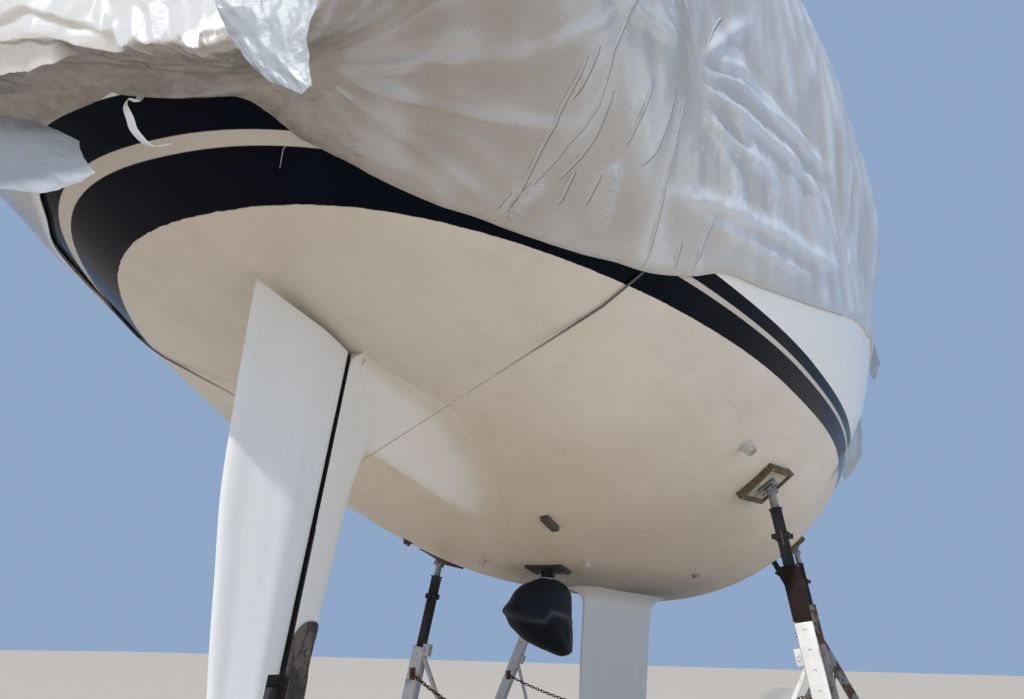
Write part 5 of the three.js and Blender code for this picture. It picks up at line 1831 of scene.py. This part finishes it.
def make_pad(name, spot, out, turn):
    bm = bmesh.new()
    board = stood(spot, out) @ Matrix.Rotation(math.radians(turn), 4, "Z")

    def slab(x0, x1, y0, y1, z0, z1, edge):
        at = Matrix.Translation(((x0 + x1) / 2, (y0 + y1) / 2, (z0 + z1) / 2))
        box(bm, (x1 - x0, y1 - y0, z1 - z0), board @ at, edge)

    slab(-0.171, 0.171, -0.134, 0.134, -0.05, 0.022, 0.002)
    slab(-0.115, 0.115, -0.08, 0.08, 0.022, 0.026, 0.002)
    before = len(bm.faces)
    for side in (-1, 1):
        slab(-0.1725, 0.1725, *sorted((side * 0.135, side * 0.106)), -0.012, 0.034, 0.003)
        slab(*sorted((side * 0.172, side * 0.143)), -0.1055, 0.1055, -0.012, 0.0335, 0.003)
    painted(bm, before, 1)
    for along in (-0.157, 0.157):
        for side in (-0.12, 0.12):
            bolt_head(bm, board @ Vector((along, side, 0.033)), out, 0.005, 0.003)
    piece(f"prop_{name}_pad_board", bm, [PLY, FRAME_WOOD], [f"prop_{name}_pad"])


def make_prop(name, at_hull, foot_at, upper, side, finish, turn):
    spot, out = hull_spot(*at_hull)
    make_pad(name, spot, out, turn)
    knee, base = prop_line(name)
    run = (base - knee).normalized()
    total = (base - knee).length
    ahead = Vector((1, 0, 0))

    def at(length):
        return knee + run * length

    def pin_through(mesh, middle, aft, fore, radius, sides=14):
        rod(mesh, middle - ahead * aft, middle + ahead * fore, radius, sides, lean=(0, 0, 1))

    bm = bmesh.new()
    bar(bm, spot + out * 0.0345, spot + out * 0.043, 0.118, 0.118)
    for dx in (-0.045, 0.045):
        for dy in (-0.045, 0.045):
            bolt_head(bm, stood(spot, out) @ Vector((dx, dy, 0.043)), out, 0.007, 0.006)
    for hand in (-1, 1):
        shift = Vector((hand * 0.034, 0, 0))
        bar(bm, spot + out * 0.04 + shift, spot + out * 0.092 + shift, 0.01, 0.062)
    pin_through(bm, knee, 0.055, 0.055, 0.012, 20)
    rod(bm, at(-0.012), at(0.02), 0.027, 28)
    rod(bm, at(0.018), at(0.135), 0.023, 28)
    for k in range(9):
        rod(bm, at(0.03 + 0.009 * k), at(0.035 + 0.009 * k), 0.0255, 24, 0.0235)
    rod(bm, at(0.11), at(0.128), 0.036, 6)
    before = len(bm.faces)
    bar(bm, at(0.112), at(upper + 0.055), 0.064, 0.064, 0.006, 3)
    bar(bm, at(0.108), at(0.118), 0.074, 0.074)
    bar(bm, at(0.252), at(0.288), 0.088, 0.088, 0.005, 3)
    bar(bm, at(0.27) + Vector((0, -0.06, 0)), at(0.27) + Vector((0, 0.06, 0)), 0.02, 0.03, 0.004)
    pin_through(bm, at(0.27), 0.062, 0.058, 0.009)
    rod(bm, at(0.246) - ahead * 0.058, at(0.33) - ahead * 0.064, 0.007, 12)
    painted(bm, before, 1)
    piece(f"prop_{name}_jack", bm, [GALVANISED, DARK_TUBE], [f"prop_{name}_screw"])

    sleeve = name == "starboard_aft"
    leg_top = upper - 0.015 if sleeve else upper - 0.19
    sink = LEG_SIDE / 2 * (abs(run.x) + abs(run.y)) / -run.z
    tube, tool = bmesh.new(), bmesh.new()
    bar(tube, at(leg_top), at(total - sink), LEG_SIDE, LEG_SIDE, 0.007, 3)
    bar(tool, at(leg_top - 0.05), at(total - 0.06), LEG_SIDE - 0.012, LEG_SIDE - 0.012, 0)
    across = (ahead - run * run.x).normalized()
    athwart = run.cross(across)
    for k in range(int((total - leg_top - 0.14) / HOLE_PITCH)):
        for way, shift in ((across, 0.045), (athwart, 0.085)):
            mid = at(leg_top + shift + HOLE_PITCH * k)
            rod(tool, mid - way * 0.08, mid + way * 0.08, 0.0105, 12, lean=tuple(run))
    tube = cut_from(tube, tool)
    low, high, rim = at(leg_top - 0.01), at(leg_top + 0.001), LEG_SIDE + 0.008
    for hand in () if sleeve else (-1, 1):
        edge = (rim - 0.016) / 2 * hand
        bar(tube, low + across * edge, high + across * edge, 0.016, rim, 0.002)
        bar(tube, low + athwart * edge, high + athwart * edge, rim - 0.034, 0.016, 0.002)
    grip = at(total - 1.18)
    heel = at(total - 0.06)
    heel = Vector((heel.x, heel.y + side * 0.74, GROUND + 0.03))
    bar(tube, grip, heel, 0.04, 0.026, 0.004)
    for hand in (-1, 1):
        shift = across * hand * 0.027
        lug = grip + Vector((0, side * 0.055, -0.01)) + shift
        bar(tube, lug + run * -0.045, lug + run * 0.045, 0.008, 0.06, 0.002)
    pin = grip + Vector((0, side * 0.066, -0.02))
    rod(tube, pin - across * 0.04, pin + across * 0.04, 0.009, 14, lean=(0, 0, 1))
    bolt_head(tube, pin + across * 0.031, across, 0.011)
    fx, fy = foot_at
    bar(tube, (fx, fy, GROUND), (fx, fy, GROUND + 0.014), 0.34, 0.18)
    for hand in (-1, 1):
        gusset = Vector((fx + hand * 0.075, fy, GROUND + 0.045))
        bar(tube, gusset - Vector((0, 0.004, 0)), gusset + Vector((0, 0.004, 0)), 0.062, 0.07, 0.002)
    foot = Vector((heel.x, heel.y + side * 0.015, GROUND))
    bar(tube, foot, foot + Vector((0, 0, 0.014)), 0.18, 0.12)
    for hand in (-1, 1):
        ear = foot + Vector((hand * 0.026, 0, 0.012))
        bar(tube, ear, ear + Vector((0, 0, 0.048)), 0.008, 0.07, 0.002)
    pin_through(tube, heel, 0.042, 0.042, 0.009)
    if sleeve:
        before = len(tube.faces)
        bar(tube, at(0.44), at(upper - 0.016), 0.1005, 0.1005, 0.008, 3)
        bar(tube, at(0.437), at(0.446), 0.104, 0.104, 0.004)
        painted(tube, before, 1)
        before = len(tube.faces)
        for hand in (-1, 1):
            bolt_head(tube, at(upper + 0.045) + athwart * hand * (LEG_SIDE / 2), athwart * hand, 0.012, 0.01)
        painted(tube, before, 1)
    piece(f"prop_{name}_tube", tube, [finish, BROWN_SLEEVE], [f"prop_{name}_leg"])


# Keel blocks, chains and rope

BLOCKS = [
    ("keel_block_aft_lower", 6.05, 0.15, 0.45, 0.0, 0.135),
    ("keel_block_aft_upper", 6.05, 0.11, 0.3, 0.1354, 0.2696),
    ("keel_block_fore_lower", 7.15, 0.15, 0.45, 0.0, 0.135),
    ("keel_block_fore_upper", 7.15, 0.11, 0.3, 0.1354, 0.2696),
]


def make_block(name, x, half_x, half_y, low, high, seed):
    bm = bmesh.new()
    at = Matrix.Translation((x, 0, GROUND + (low + high) / 2))
    box(bm, (2 * half_x, 2 * half_y, high - low), at, 0.008, 3)
    long = [e for e in bm.edges if e.calc_length() > 0.2]
    bmesh.ops.subdivide_edges(bm, edges=long, cuts=14, use_grid_fill=True)
    for v in bm.verts:
        wave = float(ripple(np.array(v.co.y * 9.0), np.array(v.co.z * 14.0 + v.co.x * 6), seed))
        v.co.x += 0.0025 * wave * (1 if v.co.x > x else -1)
    piece(f"{name}_timber", bm, BLOCK_WOOD, [name])


def link_along(bm, spot, run, turned):
    """One oval link of a chain, of ten by five faces."""
    lean = (0, 0, 1) if not turned else tuple(Vector((0, 0, 1)).cross(run))
    frame_at = stood(spot, run, lean)
    for v in bmesh.ops.create_grid(bm, x_segments=10, y_segments=5, size=0.5)["verts"]:
        around, ring = 2 * math.pi * (v.co.x + 0.5), 2 * math.pi * (v.co.y + 0.5)
        out = 0.011 + 0.0042 * math.cos(ring)
        stretch = 0.013 * (1 if math.cos(around) > 0.05 else -1 if math.cos(around) < -0.05 else 0)
        up = out * math.cos(around) + stretch
        v.co = frame_at @ Vector((out * math.sin(around), 0.0042 * math.sin(ring), up))


def prop_line(name):
    row = next(r for r in PROPS if r[0] == name)
    spot, out = hull_spot(*row[1])
    return spot + out * 0.062, Vector((*row[2], GROUND))


def make_chain(name, first, last, height, sag):
    ends = []
    for prop, face in ((first, 1), (last, -1)):
        knee, base = prop_line(prop)
        spot = knee.lerp(base, (height - knee.z) / (GROUND - knee.z))
        ends.append(Vector((spot.x + face * 0.0581, spot.y, height)))
    steps = np.linspace(0, 1, 400)
    route = np.array([ends[0].lerp(ends[1], t) - Vector((0, 0, sag * 4 * t * (1 - t))) for t in steps])
    way = way_along(route)
    count = int(way[-1] / 0.0335)
    bm = bmesh.new()
    for k in range(count):
        s = (k + 0.5) / count * way[-1]
        spot, fore, aft = (Vector(sampled(route, way, at)) for at in (s, s + 0.01, s - 0.01))
        link_along(bm, spot, (fore - aft).normalized(), k % 2)
    for end, face in zip(ends, (1, -1)):
        lug = end - Vector((face * 0.01, 0, 0))
        bar(bm, lug + Vector((0, 0, 0.045)), lug - Vector((0, 0, 0.045)), 0.01, 0.05)
        rod(bm, end - Vector((0.012, 0, 0)), end + Vector((0.012, 0, 0)), 0.01, 12, lean=(0, 0, 1))
    piece(f"{name}_links", bm, RUSTY, [name])


def rope_finish():
    """Laid rope, grey with dirt, painted dark on its upper run as painted shade, its strands following its
    own length.
    """
    f = Finish("tie_rope_fibre", (0.16, 0.145, 0.125), 0.85)
    cloud = f.noise(f.place(), 14, 5, 0.6)
    fine = f.noise(f.place(), 240, 3, 0.6)
    laid = f.shade(cloud, 0.35, 0.7, (0.44, 0.4, 0.35), (0.66, 0.62, 0.56))
    # Painted shade: from 0.3 m below the waterline upwards the rope goes over to near black, for the shadow
    # it runs into under the hem.
    f.colour(f.shade(f.axis("Z"), WATERLINE - 0.3, WATERLINE - 0.12, laid, (0.065, 0.058, 0.052), 0.85))
    f.bump(fine, 0.4, 0.0008)
    return f.made


ROPE_FINISH = rope_finish()
ROPE_OFF = 0.0085
ROPE_TURN = Vector((2.474, 0, -0.61))


def rope_route():
    hem = ((2.404, 1.2), (2.404, 1.188), (2.408, 1.112), (2.42, 1.035))
    side = [hull_spot(x, -y, ROPE_OFF)[0] for x, y in hem]
    leaving = side[-1]
    side += [leaving.lerp(ROPE_TURN, t) for t in np.linspace(0.05, 0.985, 30)]
    other = [Vector((p.x, -p.y, p.z)) for p in reversed(side)]
    return np.array([*side, ROPE_TURN, *other])


def make_rope():
    route = rope_route()
    way = way_along(route)
    count = 1100
    even = np.linspace(0, way[-1], count + 1)
    line = eased(sampled(route, way, even), 10)
    run = np.gradient(line, axis=0)
    run /= np.linalg.norm(run, axis=1)[:, None]
    first = np.cross(run, np.array([1.0, 0, 0]))
    first /= np.linalg.norm(first, axis=1)[:, None]
    second = np.cross(run, first)

    def place(u, v):
        k = step(u, count)
        angle = 2 * math.pi * v
        lay = even[k] / 0.034 * 2 * math.pi
        thick = 0.0032 + 0.0016 * smooth(-0.34, -0.2, line[k, 2])
        out = thick * (0.8 + 0.2 * np.abs(np.cos(1.5 * (angle - lay / 3))))
        around = np.cos(angle)[:, None] * first[k] + np.sin(angle)[:, None] * second[k]
        return line[k] + out[:, None] * around

    bm = bmesh.new()
    skin(bm, count, 18, place)
    closed(bm, 0.00005)
    piece("tie_rope_laid", bm, ROPE_FINISH, ["tie_rope"], sharp=80, weld=0)


# Mast, spreaders and rigging

MAST_X = 8.1
MAST_TOP = 17.6
SPREADER_Z = {"lower": (6.9, 1.06), "upper": (12.3, 0.8)}


def make_mast():
    def spot(ahead, side, up=0.0):
        """A place from the mast's middle line and its top."""
        return Vector((MAST_X + ahead, side, MAST_TOP + up))

    bm = bmesh.new()
    foot = float(sheer_z(MAST_X)) + DECK_CAMBER - 0.02
    body = drum(bm, 1, 1, MAST_TOP - foot, 56)
    bmesh.ops.scale(bm, verts=body, vec=(0.115, 0.07, 1))
    bmesh.ops.translate(bm, verts=body, vec=(MAST_X, 0, (MAST_TOP + foot) / 2))
    rounded(bm, [e for e in bm.edges if abs(e.verts[0].co.z - e.verts[1].co.z) < 0.001], 0.004)
    aft = MAST_X - 0.115
    for side in (-1, 1):
        y = side * 0.011
        bar(bm, (aft - 0.002, y, 2.2), (aft - 0.002, y, MAST_TOP - 0.4), 0.022, 0.008, 0.002)
    bar(bm, spot(-0.02, 0, -0.004), spot(-0.02, 0, 0.02), 0.32, 0.12, 0.006)
    for side in (-1, 1):
        for end in (-0.15, 0.11):
            sheave = spot(end, side * 0.028, -0.028)
            rod(bm, sheave - Vector((0, 0.01, 0)), sheave + Vector((0, 0.01, 0)), 0.036, 24)
    for z, _ in SPREADER_Z.values():
        bar(bm, (MAST_X, 0, z - 0.1), (MAST_X, 0, z + 0.1), 0.15, 0.15, 0.012)
    for side in (-1, 1):
        winch = Vector((MAST_X - 0.02, side * 0.068, 3.75))
        waist, neck, cap = (winch + Vector((0, side * out, 0)) for out in (0.045, 0.105, 0.118))
        rod(bm, winch, waist, 0.052, 32, 0.046)
        rod(bm, waist, neck, 0.03, 32, 0.036)
        rod(bm, neck, cap, 0.047, 32)
        y = side * 0.069
        bar(bm, (MAST_X + 0.03, y, 4.25), (MAST_X + 0.03, y, 4.41), 0.014, 0.02, 0.004)
    for k in range(6):
        z = 4.9 + 1.9 * k
        rod(bm, (MAST_X + 0.1, 0, z), (MAST_X + 0.126, 0, z), 0.01, 12, lean=(0, 0, 1))
    rod(bm, spot(0.02, 0, 0.018), spot(0.02, 0, 0.09), 0.03, 24, 0.026)
    rod(bm, spot(-0.12, 0.03, 0.018), spot(-0.12, 0.03, 0.46), 0.004, 8, 0.002)
    bar(bm, spot(0.13, 0, 0.015), spot(0.42, 0, 0.105), 0.01, 0.01, 0.002, lean=(0, 0, 1))
    rod(bm, spot(0.41, 0, 0.09), spot(0.41, 0, 0.2), 0.005, 10)
    bar(bm, spot(0.34, 0.02, 0.185), spot(0.5, -0.02, 0.185), 0.03, 0.002, 0, lean=(0, 0, 1))
    piece("mast_tube", bm, ALLOY, ["mast"])

    def collar(u, v):
        angle = 2 * math.pi * u
        gather = 0.006 * np.cos(angle * 13 + 4 * v) * (1 - bell(v - 0.75, 0.09))
        spread = 0.01 + 0.24 * smooth(0.42, 0.0, v) + 0.02 * smooth(0.8, 1.0, v) + gather
        x = MAST_X + (0.115 + spread) * np.cos(angle)
        return points(x, (0.07 + spread * 0.8) * np.sin(angle), 3.05 + 0.62 * v)

    def tape(u, v):
        angle = 2 * math.pi * u
        out = 0.0155 + 0.003 * np.sin(math.pi * v)
        x = MAST_X + (0.115 + out) * np.cos(angle)
        return points(x, (0.07 + out) * np.sin(angle), 3.48 + 0.07 * v)

    bm = bmesh.new()
    skin(bm, 110, 36, collar)
    merged(bm)
    before = len(bm.faces)
    skin(bm, 80, 4, tape)
    painted(bm, before, 1)
    bmesh.ops.solidify(bm, geom=bm.faces, thickness=-0.0015)
    finish = [COVER_FILM.data.materials[0], LEG_PLATE]
    piece("mast_collar_film", bm, finish, sharp=60)


def make_spreader(level, hand, side):
    z, reach = SPREADER_Z[level]
    root = Vector((MAST_X, side * 0.0705, z))
    tip = Vector((MAST_X - 0.06, side * reach, z))
    bm = bmesh.new()

    def place(u, v):
        angle = 2 * math.pi * v
        thick = np.where(u < 0.02, u / 0.02, 1) * np.sqrt(np.clip((1 - u) / 0.02, 0, 1))
        chord = 0.04 - 0.012 * u
        spot = points(root.x + (tip.x - root.x) * u, root.y + (tip.y - root.y) * u, root.z + 0 * u)
        spot[:, 0] += chord * np.cos(angle) * np.maximum(thick, 0.6)
        spot[:, 2] += chord * 0.42 * np.sin(angle) * np.maximum(thick, 0.4)
        return spot

    skin(bm, 30, 28, place)
    closed(bm)
    rod(bm, tip - Vector((0, side * 0.02, 0.022)), tip + Vector((0, -side * 0.02, 0.022)), 0.016, 20)
    piece(f"spreader_{level}_{hand}_blade", bm, ALLOY, [f"spreader_{level}_{hand}"])


SIDES = (("starboard", -1), ("port", 1))


def on_both_sides(name, in_cad, radius, route):
    """A wire on each side, from its route on the port side, as a node of the CAD or without one."""
    return [
        (
            f"{name}_{hand}" + "_wire" * in_cad,
            [f"shroud_{hand}"] * in_cad,
            f"shroud_{hand}",
            radius,
            [(x, side * y, z) for x, y, z in route],
        )
        for hand, side in SIDES
    ]


SHROUD = [(8.1, 0.0768, 17.3), (8.04, 0.8088, 12.3), (8.04, 1.0678, 6.9), (8.04, 1.88, 1.18)]
RIGGING = [
    ("forestay_wire", ["forestay"], "forestay", 0.006, [(8.2216, 0, 17.48), (13.56, 0, 1.56)]),
    ("backstay_wire", ["backstay"], "backstay", 0.006, [(7.9784, 0, 17.48), (0.09, 0, 1.18)]),
    *on_both_sides("shroud", True, 0.006, SHROUD),
    *on_both_sides("lower_shroud", False, 0.004, [(8.1, 0.074, 6.8), (7.55, 1.86, 1.2)]),
    *on_both_sides("inner_shroud", False, 0.004, [(8.1, 0.074, 12.2), (8.04, 1.05, 6.92)]),
    ("halyard_fore", [], "mast", 0.005, [(8.236, 0.03, 17.55), (8.225, 0.03, 3.4)]),
    ("halyard_aft", [], "mast", 0.005, [(7.95, -0.035, 17.55), (7.965, -0.035, 3.4)]),
]


def make_stay(name, nodes, slot, radius, route):
    bm = bmesh.new()
    for a, b in zip(route, route[1:]):
        rod(bm, a, b, radius, 14, lean=(0, 1, 0))
    top, low = Vector(route[0]), Vector(route[-1])
    halyard = name.startswith("halyard")
    if not halyard:
        near_top = (Vector(route[1]) - top).normalized()
        near_low = (Vector(route[-2]) - low).normalized()
        rod(bm, top, top + near_top * 0.11, radius * 1.9, 18, radius * 1.2, lean=(0, 1, 0))
        rod(bm, low + near_low * 0.02, low + near_low * 0.26, radius * 2.2, 18, lean=(0, 1, 0))
        rod(bm, low + near_low * 0.26, low + near_low * 0.38, radius * 2.0, 18, radius * 1.15, lean=(0, 1, 0))
    piece(name, bm, ROPE_FINISH if halyard else WIRE, nodes)


make_belly()
make_pleats()
for name, rows in (*FLAPS.items(), *TORN.items()):
    make_flap(name, rows)
make_curl()
make_heel()
make_drive()
make_bag()
for row in FITTINGS:
    make_fitting(*row)
make_anode()
for row in PROPS:
    make_prop(*row)
for seed, row in enumerate(BLOCKS):
    make_block(*row, 90 + seed)
make_chain("prop_chain_aft", "starboard_aft", "port_aft", -1.5, 0.42)
make_chain("prop_chain_mid", "starboard_mid", "port_mid", -1.56, 0.33)
make_rope()
make_mast()
for hand, side in SIDES:
    for level in SPREADER_Z:
        make_spreader(level, hand, side)
for row in RIGGING:
    make_stay(*row)
